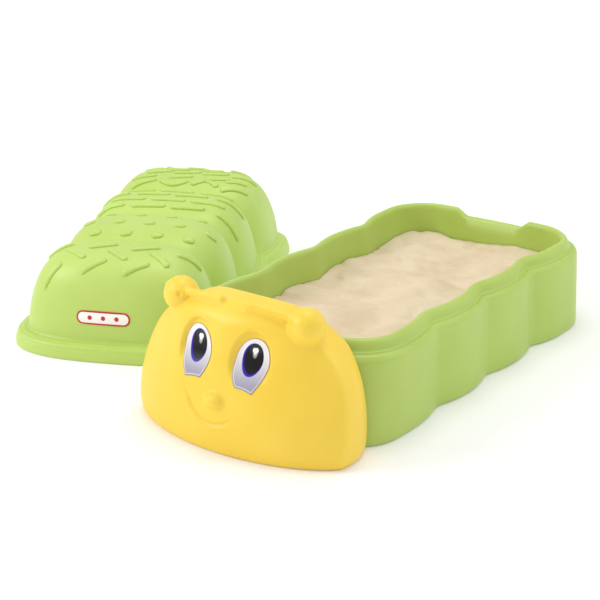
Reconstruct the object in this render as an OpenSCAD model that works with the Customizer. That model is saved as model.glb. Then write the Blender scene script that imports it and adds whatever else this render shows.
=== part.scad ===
// Inchworm-shaped sandbox with a lift-off cover.
// Frame: millimetres, +Z up, origin in the middle of the tub's underside, head towards -Y.

/* [Tub] */
// Length of the tub from its front wall to its rear end
tub_len = 1010; // [880:5:1230]
// Width of the tub over its widest segment
tub_w = 558; // [460:2:680]
// Height of the tub to the crown of its rim
tub_h = 214; // [170:1:270]
// Height of the rim lip above the ledge that the cover sits on
lip_h = 26; // [16:1:40]
// Distance from the base outline in to the outer face of the lip
lip_in = 26; // [22:1:34]
// Width of the lip at its foot
lip_w = 24; // [20:1:34]
// Lean of the outer wall between the floor and the ledge
wall_draft = 7; // [2:1:14]
// Rounding of the bottom edge
foot_r = 9; // [4:1:14]
// Top of the basin's floor above the ground
basin_floor = 36; // [26:1:50]
// Skin of the moulded polyethylene
skin = 4; // [3:0.5:6]

/* [Segments] */
// Length of the first segment, from the front wall to the first valley
first_seg = 290; // [260:5:340]
// Length of the last segment, from the last valley to the rear end
last_seg = 300; // [250:5:340]
// How far the front three segments stay inside the widest width
apex_in = 6; // [0:1:12]
// How far the valleys between segments cut into the widest width
valley_in = 25; // [14:1:34]
// Length of the rounded front of the first segment
front_round = 172; // [130:2:200]
// Radius of the two rear corners
rear_r = 141; // [110:5:190]
// Squareness of the front corners at the ground, as a superellipse power
front_square = 4; // [3:0.1:5]
// Squareness of the front corners at the ledge and above
lip_square = 2.7; // [2.2:0.1:4]
// How far the rear end bows outwards
rear_bow = 10; // [0:1:24]

/* [Rear notch] */
// Half-width of the notch's floor in the rear of the lip
notch_half = 68; // [40:1:90]
// Length of the ramp on each side of the notch
notch_ramp = 36; // [15:1:50]

/* [Head] */
// Half-width of the head at its widest
head_half_w = 265; // [220:1:290]
// Height of the head to its crown
head_h = 302; // [240:1:340]
// How far the chin reaches in front of the tub's front wall
head_reach = 165; // [130:1:200]
// How far the sides of the head reach back past the tub's front wall
head_wrap = 30; // [10:1:45]
// Clearance between the back of the head and the tub
head_gap = 0.8; // [0.5:0.1:2]
// Height at which the head is widest
head_belly_z = 40; // [20:1:60]
// Radius of the ball on each antenna
antenna_r = 34; // [20:1:40]
// Sideways place of each antenna ball
antenna_x = 155; // [110:1:180]
// Radius of the nose
nose_r = 17; // [10:1:26]
// Height of the middle of the nose
nose_z = 107; // [80:1:130]

/* [Eyes] */
// Sideways place of the middle of each eye
eye_x = 68; // [50:1:100]
// Height of the middle of each eye
eye_z = 193; // [160:1:215]
// Half-width of an eye decal
eye_half_w = 40; // [24:1:46]
// Half-height of an eye decal
eye_half_h = 55; // [36:1:64]
// Depth of the moulded socket round each eye
socket_depth = 12; // [2:0.5:16]
// Thickness of the decal film
decal_t = 0.6; // [0.4:0.1:1.2]

/* [Cover] */
// Height of the cover to the crown of its humps
cover_h = 222; // [170:1:270]
// Height of the skirt that drops over the lip
skirt_h = 38; // [30:1:50]
// Width of the flange between the skirt and the humped body
flange_w = 30; // [18:1:44]
// Gap between the lip and the inside of the skirt when the cover is on
cover_gap = 2; // [1:0.5:6]
// How far the valleys between humps drop below the crown
hump_drop = 26; // [10:1:40]
// How far the valleys between humps draw in beyond those of the tub
hump_pinch = 9; // [0:1:16]
// Where the cover lies beside the tub: sideways place of its middle
cover_x = -692; // [-900:1:-640]
// Where the cover lies beside the tub: lengthwise place of its middle
cover_y = -14; // [-200:1:200]
// Turn of the cover as it lies beside the tub
cover_yaw = 24.5; // [0:0.5:30]

/* [Cover label] */
// Width of the label on the cover's front wall
label_w = 128; // [60:1:160]
// Height of the label
label_h = 32; // [16:1:40]
// Sideways place of the middle of the label
label_x = -8; // [-40:1:40]

/* [Sand] */
// Mean height of the sand's surface above the ground
sand_z = 140; // [100:1:170]
// Height of the ripples in the sand
sand_ripple = 7; // [0:1:12]
// Clearance between the sand and the basin wall
sand_gap = 0.5; // [0.3:0.1:2]

/* [Fasteners] */
// Nominal radius of the screws that hold the head
screw_r = 4; // [3:0.5:6]
// Sideways place of the screws
screw_x = 110; // [70:5:160]
// Height of the lower pair of screws
screw_low_z = 72; // [55:1:90]
// Height of the upper pair of screws
screw_high_z = 162; // [120:1:170]
// Distance from the tub's front wall to the seat of each screw well
well_seat = 34; // [20:1:40]
// Radius of the screw well
well_r = 17; // [12:1:22]
// Length of the threaded insert moulded into the head
insert_l = 18; // [10:1:26]
// Radius of the vent plugs
vent_r = 6; // [4:0.5:9]

/* [Hidden] */
$fn = 48;

green = "#b2cf68";
yellow = "#f6d94c";
sand_colour = "#d9c6a6";
decal_white = "#ecebf0";
label_red = "#c8313a";
steel = "#b9bcc0";
brass = "#c9a24a";
plug_green = "#9dbb58";

// ---- Plan of the tub: four scalloped segments between a flat front and a round rear ----
half_w = tub_w / 2;
front_y = -tub_len / 2;
rear_y = tub_len / 2 - rear_bow;
seg_pitch = (tub_len - first_seg - last_seg) / 2;
valleys = [
  front_y + first_seg,
  front_y + first_seg + seg_pitch,
  front_y + first_seg + 2 * seg_pitch
];
// Where each segment is widest: the first one is widest in its front half
apexes = [
  front_y + front_round,
  (valleys[0] + valleys[1]) / 2,
  (valleys[1] + valleys[2]) / 2,
  valleys[2] + seg_pitch / 2
];
corner_y = rear_y - rear_r;
valley_blend = 8;
crease_power = 1.7;
wall_top = tub_h - lip_h;

function smin(a, b, k) = min(a, b) - pow(max(k - abs(a - b), 0), 2) / (4 * k);
function clamp(v, lo, hi) = min(max(v, lo), hi);
function mix(a, b, t) = a + (b - a) * t;
function smooth(t) = let (u = clamp(t, 0, 1)) u * u * (3 - 2 * u);

// How far a parabola has drawn in at y, from least at its apex to valley_in at a valley
function arch(y, apex, valley, least) =
  least + (valley_in - least) * pow((y - apex) / (valley - apex), 2);

function arch_at(y, i) =
  i == 0 ? (y < apexes[0] ? apex_in : arch(y, apexes[0], valleys[0], apex_in)) :
  i == 3 ? (y > apexes[3] ? 0 : arch(y, apexes[3], valleys[2], 0)) :
  arch(y, apexes[i], valleys[i], apex_in);

// Indent of the side wall from the widest width at y
function indent(y) =
  smin(smin(arch_at(y, 0), arch_at(y, 1), valley_blend),
       smin(arch_at(y, 2), arch_at(y, 3), valley_blend), valley_blend);

// 1 in the crease of a valley, 0 over the middle of a segment
function crease(y) =
  y < apexes[0] || y > apexes[3] ? 0 :
  pow(clamp((min([for (i = [0:3]) arch_at(y, i)]) - apex_in) / (valley_in - apex_in), 0, 1), crease_power);

// Steps that crowd towards one or both ends of a stretch
function ease_out(i, n) = sin(90 * i / n);
function ease_both(i, n) = (1 - cos(180 * i / n)) / 2;

side_steps = [5, 10, 10, 7];
side_ys = concat(
  [for (i = [1:side_steps[0] - 1]) mix(apexes[0], valleys[0], ease_out(i, side_steps[0]))],
  [for (i = [0:side_steps[1] - 1]) mix(valleys[0], valleys[1], ease_both(i, side_steps[1]))],
  [for (i = [0:side_steps[2] - 1]) mix(valleys[1], valleys[2], ease_both(i, side_steps[2]))],
  [for (i = [0:side_steps[3]]) mix(valleys[2], corner_y, 1 - ease_out(side_steps[3] - i, side_steps[3]))]
);
front_steps = 11;
rear_steps = 8;
// Sideways places of the outline's points along the rear end, at the notch's corners
rear_flat = half_w - rear_r;
end_xs = concat(
  [for (s = [1, 0.5, 0]) min(notch_half + s * notch_ramp, rear_flat * (0.75 + 0.1 * s))],
  [min(notch_half, rear_flat * 0.75) * 0.4]
);

// Quarter of the rounded front: power gives the squareness, df draws in the front wall
function front_curve(d, df, power) =
  [for (i = [0:front_steps])
    let (a = 90 * i / front_steps)
    [(half_w - apex_in - d) * pow(sin(a), 2 / power),
     apexes[0] - (front_round - df) * pow(cos(a), 2 / power)]];

// Right half of the outline drawn in by d, or by df at the front, from front middle to rear
function half_outline(d, df, power) =
  let (rr = rear_r - d)
  concat(
    front_curve(d, df, power),
    [for (y = side_ys) [half_w - indent(y) - d, y]],
    [for (i = [1:rear_steps])
      let (a = 90 * i / rear_steps)
      [rear_flat + rr * cos(a), corner_y + rr * sin(a) + rear_bow * smooth(sin(a) - cos(a)) * 0.3]],
    [for (x = end_xs)
      [x, corner_y + rr + rear_bow * mix(0.3, 1, cos(90 * x / rear_flat))]]
  );

// Whole outline, anticlockwise seen from above: front middle, right side, rear middle, left side
function outline(d, df, power) =
  let (h = half_outline(d, df, power), n = len(h))
  concat(
    h,
    [[0, corner_y + rear_r - d + rear_bow]],
    [for (i = [n - 1:-1:1]) [-h[i][0], h[i][1]]]
  );

// ---- Skinning: rings of equal count joined into one closed solid ----
function band_faces(n, k) = [
  for (i = [0:n - 1])
    let (a = k * n + i, b = k * n + (i + 1) % n)
    each [[a, a + n, b + n], [a, b + n, b]]
];
// Domed cap over ring k, as a strip between its two mirrored halves
function dome_faces(n, k) =
  let (o = k * n, h = n / 2)
  [for (i = [0:h - 1])
    each i == 0 ? [[o + n - 1, o + 1, o]] :
         i == h - 1 ? [[o + h + 1, o + h, o + h - 1]] :
         [[o + n - i - 1, o + i + 1, o + i], [o + n - i, o + n - i - 1, o + i]]
  ];
function turned(faces) = [for (f = faces) [for (i = [len(f) - 1:-1:0]) f[i]]];
// Closed solid through the rings; domed closes the last ring with a strip, arched the first
module skin_rings(rings, domed = false, arched = false) {
  n = len(rings[0]);
  last = len(rings) - 1;
  polyhedron(
    points = [for (r = rings) each r],
    faces = concat(
      arched ? turned(dome_faces(n, 0)) : [[for (i = [0:n - 1]) i]],
      [for (k = [0:last - 1]) each band_faces(n, k)],
      domed ? dome_faces(n, last) : [[for (i = [n - 1:-1:0]) last * n + i]]
    ),
    convexity = 8
  );
}

// ---- Tub ----
// 1 inside the rear notch, 0 outside it
function notch_at(x, y) =
  y < corner_y ? 0 : 1 - smooth((abs(x) - notch_half) / notch_ramp);
// Height of the lip's surface, which drops to the ledge in the rear notch
function lip_z(x, y, z) =
  z <= wall_top ? z : wall_top + (z - wall_top) * (1 - 0.97 * notch_at(x, y));

// Squareness of the front corners at height z
function square_at(z) = mix(front_square, lip_square, clamp(z / wall_top, 0, 1));

// A level is [inset, height, inset of the front wall]
function tub_ring(level) =
  [for (p = outline(level[0], level[2], square_at(level[1]))) [p[0], p[1], lip_z(p[0], p[1], level[1])]];

lip_out = lip_in + lip_w;
basin_in = lip_out + 6;
tub_levels = [
  [foot_r, 0, foot_r],
  [foot_r * 0.3, foot_r * 0.3, foot_r * 0.3],
  [1, foot_r, 0],
  [wall_draft, wall_top - 14, 0],
  [wall_draft + 2.5, wall_top - 5, 2.5],
  [wall_draft + 8, wall_top, 8],
  [lip_in - 1, wall_top + 0.3, lip_in - 1],
  [lip_in + 1.5, tub_h - 9, lip_in + 1.5],
  [lip_in + 5, tub_h - 2, lip_in + 5],
  [lip_in + 9, tub_h, lip_in + 9],
  [lip_out - 8, tub_h, lip_out - 8],
  [lip_out - 3, tub_h - 3, lip_out - 3],
  [lip_out, tub_h - 10, lip_out],
  [basin_in, basin_floor + 22, basin_in],
  [basin_in + 6, basin_floor + 6, basin_in + 6],
  [basin_in + 20, basin_floor, basin_in + 20]
];
void_levels = [
  [foot_r + skin, skin, foot_r + skin],
  [skin + 1, foot_r + skin, skin],
  [wall_draft + skin, wall_top - 16, skin],
  [wall_draft + skin + 6, wall_top - skin, skin + 8],
  [lip_in + skin + 2, wall_top - skin + 2, lip_in + skin + 2],
  [lip_in + skin + 4, tub_h - skin - 6, lip_in + skin + 4],
  [lip_out - skin - 5, tub_h - skin - 6, lip_out - skin - 5],
  [basin_in - skin, basin_floor + 22, basin_in - skin],
  [basin_in + 6, basin_floor - skin, basin_in + 6]
];

screw_places = [
  [-screw_x, screw_low_z], [screw_x, screw_low_z],
  [-screw_x, screw_high_z], [screw_x, screw_high_z]
];
// Children stand on the front wall's plane at each screw, with +Z pointing into the basin
module at_screws() {
  for (p = screw_places)
    translate([p[0], front_y, p[1]]) rotate([-90, 0, 0]) children();
}
insert_r = screw_r * 2;
insert_clearance = 0.1;
well_boss_r = well_r + skin;
well_boss_l = basin_in + 2;
vent_place = [0, front_y + 90];
head_vent_place = [0, front_y - 60];

module tub_void() {
  difference() {
    skin_rings([for (l = void_levels) tub_ring(l)]);
    at_screws() cylinder(r = well_boss_r, h = well_boss_l);
  }
}
module tub() {
  color(green)
  difference() {
    skin_rings([for (l = tub_levels) tub_ring(l)]);
    tub_void();
    at_screws() translate([0, 0, -1]) cylinder(r = screw_r + 0.5, h = well_boss_l);
    at_screws() translate([0, 0, well_seat]) cylinder(r = well_r, h = well_boss_l);
    translate([vent_place[0], vent_place[1], -1]) cylinder(r = vent_r, h = skin + 3);
  }
}

// ---- Head ----
head_widest_y = front_y;
head_top_span = head_h - head_belly_z;
outline_power = 2.4;
back_share = 0.927;
// How far the face has curved back at a share u of the half-width
bow_sag = 66;
bow_flare = 16;
corner_sag = 40;
corner_power = 8;
function face_sag(u) =
  bow_sag * u * u + bow_flare * pow(u, 4)
  + corner_sag * (1 - pow(1 - pow(min(u, 1), corner_power), 1 / corner_power));
// Half-width of the head at height z
function head_w(z) =
  z < head_belly_z
    ? head_half_w - 11 * pow(1 - z / head_belly_z, 3)
    : head_half_w * pow(max(1 - pow((z - head_belly_z) / head_top_span, outline_power), 0), 1 / outline_power);
// Depth of the face in front of the widest line at height z, over the middle
function head_face(z) =
  let (
    u = (z - head_belly_z) / head_top_span,
    lean = z < head_belly_z ? 6 * pow(1 - z / head_belly_z, 3) : 50 * pow(u, 1.1),
    cap = 40 * pow(max(u - 0.84, 0) / 0.16, 3)
  )
  head_reach - lean - cap;
// How far the back of the head comes forward as the crown rounds over
function head_back_in(z) = 28 * pow(max(z - head_h + 30, 0) / 30, 2.5);
// Front wall of the tub at x, at height z
function tub_front_y(x, z) =
  let (power = square_at(z), u = min(abs(x) / (half_w - apex_in), 0.999))
  apexes[0] - front_round * pow(1 - pow(u, power), 1 / power);
function head_back_y(x, z) =
  min(tub_front_y(x, z) - head_gap, front_y + head_wrap) - head_back_in(z);
socket_half_w = eye_half_w + 10;
socket_rise = 2.1 * eye_half_h;
socket_brow = 36;
// The socket deepens from the cheek up to the top of the eye and ends in a soft brow
function socket_depth_at(z) =
  smooth((z - eye_z - eye_half_h + socket_rise) / socket_rise * 0.8 + 0.2)
  * (1 - smooth((z - eye_z - eye_half_h + 4) / socket_brow));
// Depth of the moulded eye sockets at a place on the face
function socket(x, z) =
  socket_depth * exp(-pow((abs(x) - eye_x) / socket_half_w, 4)) * socket_depth_at(z);

// Sideways places of the face's points, as shares of the half-width, closer round the eyes
face_us = [
  0, 0.07, 0.13, 0.18, 0.23, 0.28, 0.33, 0.38, 0.43, 0.49, 0.56, 0.64, 0.72, 0.8, 0.87, 0.92,
  0.96, 0.985, 1
];
side_back_steps = 2;
back_steps = 8;
// Ring of the head at height z, drawn in by d
function head_ring(z, d) =
  let (
    w = max(head_w(z) - d, 6),
    scale_w = w / head_half_w,
    front = head_widest_y - head_face(z) + d,
    yw = front + face_sag(1) * scale_w,
    wb = w * back_share,
    ye = head_back_y(wb, z) - d,
    half = concat(
      [for (u = face_us)
        let (x = w * u)
        [x, front + face_sag(u) * scale_w + socket(x, z) * (1 - pow(u, 4)), z]],
      [for (i = [1:side_back_steps])
        let (t = i / side_back_steps) [mix(w, wb, t * t), mix(yw, ye - 4 * scale_w, t), z]],
      [for (i = [0:back_steps])
        let (x = (wb - 4 * scale_w) * (1 - i / (back_steps + 1))) [x, head_back_y(x, z) - d, z]]
    ),
    n = len(half)
  )
  concat(half, [[0, head_back_y(0, z) - d, z]], [for (i = [n - 1:-1:1]) [-half[i][0], half[i][1], z]]);

head_zs = [
  0, 3, 9, 22, 42, 66, 90, 108, 122, 136, 150, 164, 178, 192, 206, 220, 234, 247,
  head_h - 45, head_h - 35, head_h - 26, head_h - 17, head_h - 10, head_h - 5, head_h - 2, head_h - 0.6
];
function foot_in(z) = z < 9 ? 7 * pow(1 - z / 9, 2) : 0;
head_void_zs = [
  skin, 22, 60, 100, 122, 140, 158, 176, 194, 212, 230, 247,
  head_h - 43, head_h - 30, head_h - 19, head_h - 12, head_h - 7
];

antenna_y = front_y - 69;
antenna_z = head_h - 18;
stalk_r = 8;
stalk_in = [33, antenna_y - 22, head_h - 4];
stalk_out = [antenna_x - 27, antenna_y - 4, head_h - 5];
ball_facets = 28;
// Ball or knob that melts into the moulded shell
module knob(r) {
  hull() sphere(r = r, $fn = ball_facets);
}
module antenna(side) {
  translate([side * antenna_x, antenna_y, antenna_z]) knob(antenna_r);
  hull() {
    translate([side * stalk_in[0], stalk_in[1], stalk_in[2]]) sphere(r = stalk_r, $fn = 14);
    translate([side * stalk_out[0], stalk_out[1], stalk_out[2]]) sphere(r = stalk_r, $fn = 14);
  }
}
module head() {
  color(yellow)
  difference() {
    union() {
      skin_rings([for (z = head_zs) head_ring(z, 0)]);
      translate([0, head_widest_y - head_face(nose_z) + 6, nose_z]) knob(nose_r);
      antenna(1);
      antenna(-1);
    }
    difference() {
      skin_rings([for (z = head_void_zs) head_ring(z, skin + foot_in(z))]);
      at_screws() translate([0, 0, -insert_l - skin]) cylinder(r = screw_r * 3.5, h = insert_l + skin);
    }
    at_screws() translate([0, 0, -insert_l]) cylinder(r = insert_r, h = insert_l + head_wrap);
    translate([head_vent_place[0], head_vent_place[1], -1]) cylinder(r = vent_r, h = skin + 2);
  }
}

// ---- Films that follow a moulded face ----
film_rings = 5;
film_near = 0.7;
// Faces between ring k and ring k + 1 of a film
function film_band(n, k) = [
  for (i = [0:n - 1])
    let (a = k * n + i, b = k * n + (i + 1) % n)
    each [[a, b, b + n], [a, b + n, a + n]]
];
function middle(ring) =
  [for (axis = [0:2]) ([for (p = ring) p[axis]] * [for (p = ring) 1]) / len(ring)];
// Film between two stacks of rings that both grow from the middle outwards.
// Rings run clockwise seen from the front, or anticlockwise with flip.
module film(back, front, flip = false) {
  rings = concat(back, [for (k = [len(front) - 1:-1:0]) front[k]]);
  n = len(rings[0]);
  last = len(rings) - 1;
  hub = len(rings) * n;
  faces = concat(
    [for (i = [0:n - 1]) [hub, (i + 1) % n, i]],
    [for (k = [0:last - 1]) each film_band(n, k)],
    [for (i = [0:n - 1]) [hub + 1, last * n + i, last * n + (i + 1) % n]]
  );
  polyhedron(
    points = concat([for (r = rings) each r], [middle(rings[0]), middle(rings[last])]),
    faces = flip ? turned(faces) : faces,
    convexity = 4
  );
}
// Share of the full size of film ring k
function film_share(k) = (k + 1) / (film_rings + 1);

// ---- Eye decals ----
decal_spokes = 24;
// Front face of the head at (x, z)
function face_y(x, z) =
  let (u = abs(x) / head_w(z))
  head_widest_y - head_face(z) + face_sag(u) * head_w(z) / head_half_w + socket(x, z) * (1 - pow(u, 4));
// Egg outline that tapers towards the cheek, leaning out at the top
function egg(a, s) =
  let (
    taper = 1 - 0.22 * (1 - sin(a)) / 2,
    px = eye_half_w * s * taper * cos(a),
    pz = eye_half_h * s * max(sin(a), -0.88)
  )
  [px + pz * 0.06, pz];
function decal_ring(side, s, lift) = [
  for (i = [0:decal_spokes - 1])
    let (
      e = egg(-90 + 360 * i / decal_spokes, s),
      x = side * (eye_x + e[0]),
      z = eye_z + e[1]
    )
    [x, face_y(x, z) - lift, z]
];
module eye_decal(side) {
  color(decal_white)
  film(
    [for (k = [0:film_rings]) decal_ring(side, film_share(k), film_near)],
    [for (k = [0:film_rings]) decal_ring(side, film_share(k), film_near + decal_t)],
    flip = side > 0
  );
}
module left_eye_decal() { eye_decal(-1); }
module right_eye_decal() { eye_decal(1); }

// ---- Cover ----
cover_in = lip_in - cover_gap - skin;
body_in = cover_in + flange_w;
ridge_run = 170;
ridge_front = front_y + body_in + ridge_run;
ridge_rear = corner_y + rear_r - body_in - 150;
// A level of the humped body: [share of the way in to the ridge line, share of the height]
body_levels = [
  [0.000, 0.00], [0.005, 0.06], [0.027, 0.34], [0.065, 0.52], [0.115, 0.66], [0.172, 0.775],
  [0.25, 0.87], [0.34, 0.935], [0.46, 0.972], [0.70, 0.993], [0.96, 1.00]
];
function to_ridge(p, t) =
  let (r = [0, clamp(p[1], ridge_front, ridge_rear)]) [mix(p[0], r[0], t), mix(p[1], r[1], t)];
function body_ring(level, d, drop) = [
  for (p = outline(body_in + d, body_in + d, lip_square))
    let (
      v = crease(p[1]),
      pinch = hump_pinch * v * smooth(level[1] * 4) * sign(p[0]),
      q = to_ridge([p[0] - pinch, p[1]], level[0]),
      top = cover_h - skirt_h - hump_drop * v
    )
    [q[0], q[1], skirt_h + top * level[1] - drop]
];
function flat_ring(d, z) = [for (p = outline(d, d, lip_square)) [p[0], p[1], z]];
cover_outer = concat(
  [flat_ring(cover_in + 1, 0)],
  [flat_ring(cover_in, 4)],
  [flat_ring(cover_in + 1, skirt_h - 7)],
  [flat_ring(cover_in + 3, skirt_h - 2)],
  [flat_ring(cover_in + 7, skirt_h)],
  [for (l = body_levels) body_ring(l, 0, 0)]
);
inner_levels = [
  [0.000, 0.00], [0.027, 0.34], [0.065, 0.52], [0.115, 0.66], [0.172, 0.775],
  [0.25, 0.87], [0.34, 0.935], [0.96, 1.00]
];
cover_inner = concat(
  [for (k = [len(inner_levels) - 1:-1:0]) body_ring(inner_levels[k], skin, skin)],
  [flat_ring(cover_in + skin + 5, skirt_h - skin)],
  [flat_ring(cover_in + skin + 1, skirt_h - skin - 3)],
  [flat_ring(cover_in + skin + 1, 0)]
);
module in_cover_place() {
  translate([cover_x, cover_y, 0]) rotate([0, 0, cover_yaw]) children();
}
module cover() {
  color(green)
  in_cover_place()
  skin_rings(concat(cover_inner, cover_outer), domed = true, arched = true);
}

// ---- Cover label ----
label_z = skirt_h + 58;
label_t = 0.8;
label_near = 1;
label_spokes = 32;
wall_shares = [for (l = body_levels) [l[1], l[0]]];
// Front wall of the humped body at (x, z), in the cover's own frame
function cover_front_y(x, z) =
  let (
    t = lookup((z - skirt_h) / (cover_h - skirt_h), wall_shares),
    u = min(abs(x) / (1 - t) / (half_w - apex_in - body_in), 0.999),
    y = apexes[0] - (front_round - body_in) * pow(1 - pow(u, lip_square), 1 / lip_square)
  )
  mix(y, ridge_front, t);
// Outline with round ends, scaled by s
function badge(a, s) =
  let (straight = (label_w - label_h) / 2)
  [s * (label_h / 2 * cos(a) + straight * sign(round(cos(a) * 100))), s * label_h / 2 * sin(a)];
function label_ring(s, lift) = [
  for (i = [0:label_spokes - 1])
    let (
      e = badge(-90 + 360 * (i + 0.5) / label_spokes, s),
      x = label_x + e[0],
      z = label_z + e[1]
    )
    [x, cover_front_y(x, z) - lift, z]
];
module cover_label() {
  color(label_red)
  in_cover_place()
  film(
    [for (k = [0:film_rings]) label_ring(film_share(k), label_near)],
    [for (k = [0:film_rings]) label_ring(film_share(k), label_near + label_t)],
    flip = true
  );
}

// ---- Sand ----
sand_in = basin_in + sand_gap;
function sand_height(x, y) =
  sand_z + sand_ripple * (sin(x * 1.1 + 40) * cos(y * 0.7) + 0.6 * sin(y * 1.3 + x * 0.5));
// Inset of the basin's wall at height z above the fillet of its floor
function basin_wall_in(z) =
  mix(basin_in, lip_out, clamp((z - basin_floor - 22) / (tub_h - 10 - basin_floor - 22), 0, 1));
sand_top_in = basin_wall_in(sand_z - 2 * sand_ripple) + 2 * sand_gap;
function sand_ring(t) = [
  for (p = outline(sand_top_in, sand_top_in, lip_square))
    let (
      r = [0, clamp(p[1], front_y + basin_in + 170, rear_y - basin_in - 170)],
      q = [mix(p[0], r[0], t), mix(p[1], r[1], t)]
    )
    [q[0], q[1], sand_height(q[0], q[1])]
];
module sand_bed() {
  low = basin_floor;
  color(sand_colour)
  skin_rings(concat(
    [[for (p = outline(basin_in + 21, basin_in + 21, square_at(low))) [p[0], p[1], low + 0.1]]],
    [[for (p = outline(basin_in + 7, basin_in + 7, square_at(low + 6))) [p[0], p[1], low + 6.4]]],
    [[for (p = outline(sand_in + 0.4, sand_in + 0.4, square_at(low + 22))) [p[0], p[1], low + 22]]],
    [sand_ring(0), sand_ring(0.3), sand_ring(0.62), sand_ring(0.94)]
  ), domed = true);
}

// ---- Fasteners ----
washer_t = 2;
washer_r = well_r - 3;
screw_head_r = screw_r * 1.9;
screw_head_h = screw_r * 1.1;
thread_in = insert_l - 3;
module head_screws() {
  color(steel)
  at_screws() {
    translate([0, 0, -thread_in]) cylinder(r = screw_r - 0.15, h = well_seat + washer_t + thread_in + 1);
    translate([0, 0, well_seat + washer_t])
    difference() {
      cylinder(r1 = screw_head_r, r2 = screw_head_r * 0.8, h = screw_head_h);
      translate([0, 0, screw_head_h - 2]) cylinder(r = screw_r * 0.75, h = 4, $fn = 6);
    }
  }
}
module head_washers() {
  color(steel)
  at_screws()
  translate([0, 0, well_seat])
  difference() {
    cylinder(r = washer_r, h = washer_t);
    translate([0, 0, -1]) cylinder(r = screw_r + 0.3, h = washer_t + 2);
  }
}
module head_inserts() {
  color(brass)
  at_screws()
  translate([0, 0, -insert_l])
  difference() {
    cylinder(r = insert_r - insert_clearance, h = insert_l);
    translate([0, 0, 2]) cylinder(r = screw_r, h = insert_l);
  }
}
plug_up = 0.5;
plug_clearance = 0.15;
plug_flange = 2;
// Plug whose flange lies on the inside of the skin
module vent_plug() {
  translate([0, 0, plug_up]) cylinder(r = vent_r - plug_clearance, h = skin - plug_up + 1);
  translate([0, 0, skin]) cylinder(r = vent_r + plug_flange, h = plug_flange);
}
module vent_plugs() {
  color(plug_green)
  for (p = [vent_place, head_vent_place])
    translate([p[0], p[1], 0]) vent_plug();
}

tub();
head();
left_eye_decal();
right_eye_decal();
cover();
cover_label();
sand_bed();
head_screws();
head_washers();
head_inserts();
vent_plugs();
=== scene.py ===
"""Looks of an inchworm-shaped sandbox: scalloped tub of sand, smiling head and lift-off cover.

Sizes are in millimetres. Most repeat the named values of the part's source; the head's cheeks,
nose and antennae are a little fuller. Vertices are placed in metres, in the part's own frame:
+Z up, the head towards -Y.
"""

import logging
import math
from dataclasses import dataclass, field
from enum import Enum
from typing import Callable, Optional, Sequence

import bmesh
import bpy
from mathutils import Matrix, Vector, noise
from mathutils.bvhtree import BVHTree

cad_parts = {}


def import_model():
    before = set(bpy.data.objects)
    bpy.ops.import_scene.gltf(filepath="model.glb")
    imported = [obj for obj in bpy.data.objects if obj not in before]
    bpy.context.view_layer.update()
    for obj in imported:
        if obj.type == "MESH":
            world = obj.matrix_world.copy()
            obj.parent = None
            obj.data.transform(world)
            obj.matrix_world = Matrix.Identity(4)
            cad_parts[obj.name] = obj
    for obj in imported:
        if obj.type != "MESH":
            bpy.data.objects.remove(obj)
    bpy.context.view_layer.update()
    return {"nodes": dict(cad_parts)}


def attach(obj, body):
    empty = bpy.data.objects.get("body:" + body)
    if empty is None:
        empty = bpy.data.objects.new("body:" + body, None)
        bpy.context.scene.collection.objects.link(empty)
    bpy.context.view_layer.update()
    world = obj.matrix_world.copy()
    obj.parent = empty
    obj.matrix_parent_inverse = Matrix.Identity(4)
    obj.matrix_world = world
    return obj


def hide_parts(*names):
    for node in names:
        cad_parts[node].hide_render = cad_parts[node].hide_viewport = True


LOG = logging.getLogger("sandbox")
MM = 0.001

Point2 = tuple[float, float]
Ring = list[Vector]


# ---- Small sums ----
def clamp(value: float, low: float = 0.0, high: float = 1.0) -> float:
    """Keep a value between two limits."""
    return min(max(value, low), high)


def mix(a: float, b: float, t: float) -> float:
    """Blend from a to b."""
    return a + (b - a) * t


def smooth(t: float) -> float:
    """Ease from 0 to 1 without a kink at either end."""
    u = clamp(t)
    return u * u * (3 - 2 * u)


def soft_min(a: float, b: float, blend: float) -> float:
    """Smaller of two values, rounded over where they are within blend of each other."""
    return min(a, b) - max(blend - abs(a - b), 0.0) ** 2 / (4 * blend)


def superellipse(t: float, power: float) -> float:
    """Height of a unit superellipse quadrant at a share t of its width."""
    return (1 - clamp(t) ** power) ** (1 / power)


def steps(count: int) -> list[float]:
    """Evenly spaced shares from 0 to 1, with both ends."""
    return [i / count for i in range(count + 1)]


# ---- Mesh helpers ----
def loft(rings: Sequence[Ring], first: bool, last: bool) -> bmesh.types.BMesh:
    """Skin a row of rings by extruding a loop of edges from each ring to the next.

    Args:
        rings: Rings of equal count, in metres.
        first: Close the first ring with a flat face.
        last: Close the last ring with a flat face.

    Returns:
        A bmesh with outward normals.
    """
    bm = bmesh.new()
    verts = [bm.verts.new(p) for p in rings[0]]
    count = len(verts)
    edges = [bm.edges.new((verts[i], verts[(i + 1) % count])) for i in range(count)]
    if first:
        bmesh.ops.edgeloop_fill(bm, edges=edges)
    for ring in rings[1:]:
        grown = bmesh.ops.extrude_edge_only(bm, edges=edges)["geom"]
        index = {v: i for i, v in enumerate(verts)}
        new_verts: list = [None] * count
        for v in (g for g in grown if isinstance(g, bmesh.types.BMVert)):
            old = next(e.other_vert(v) for e in v.link_edges if e.other_vert(v) in index)
            new_verts[index[old]] = v
        for v, p in zip(new_verts, ring):
            v.co = p
        verts = new_verts
        edges = [bm.edges.get((verts[i], verts[(i + 1) % count])) for i in range(count)]
    if last:
        bmesh.ops.edgeloop_fill(bm, edges=edges)
    bmesh.ops.remove_doubles(bm, verts=bm.verts, dist=0.00002)
    bmesh.ops.recalc_face_normals(bm, faces=bm.faces)
    return bm


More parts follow.
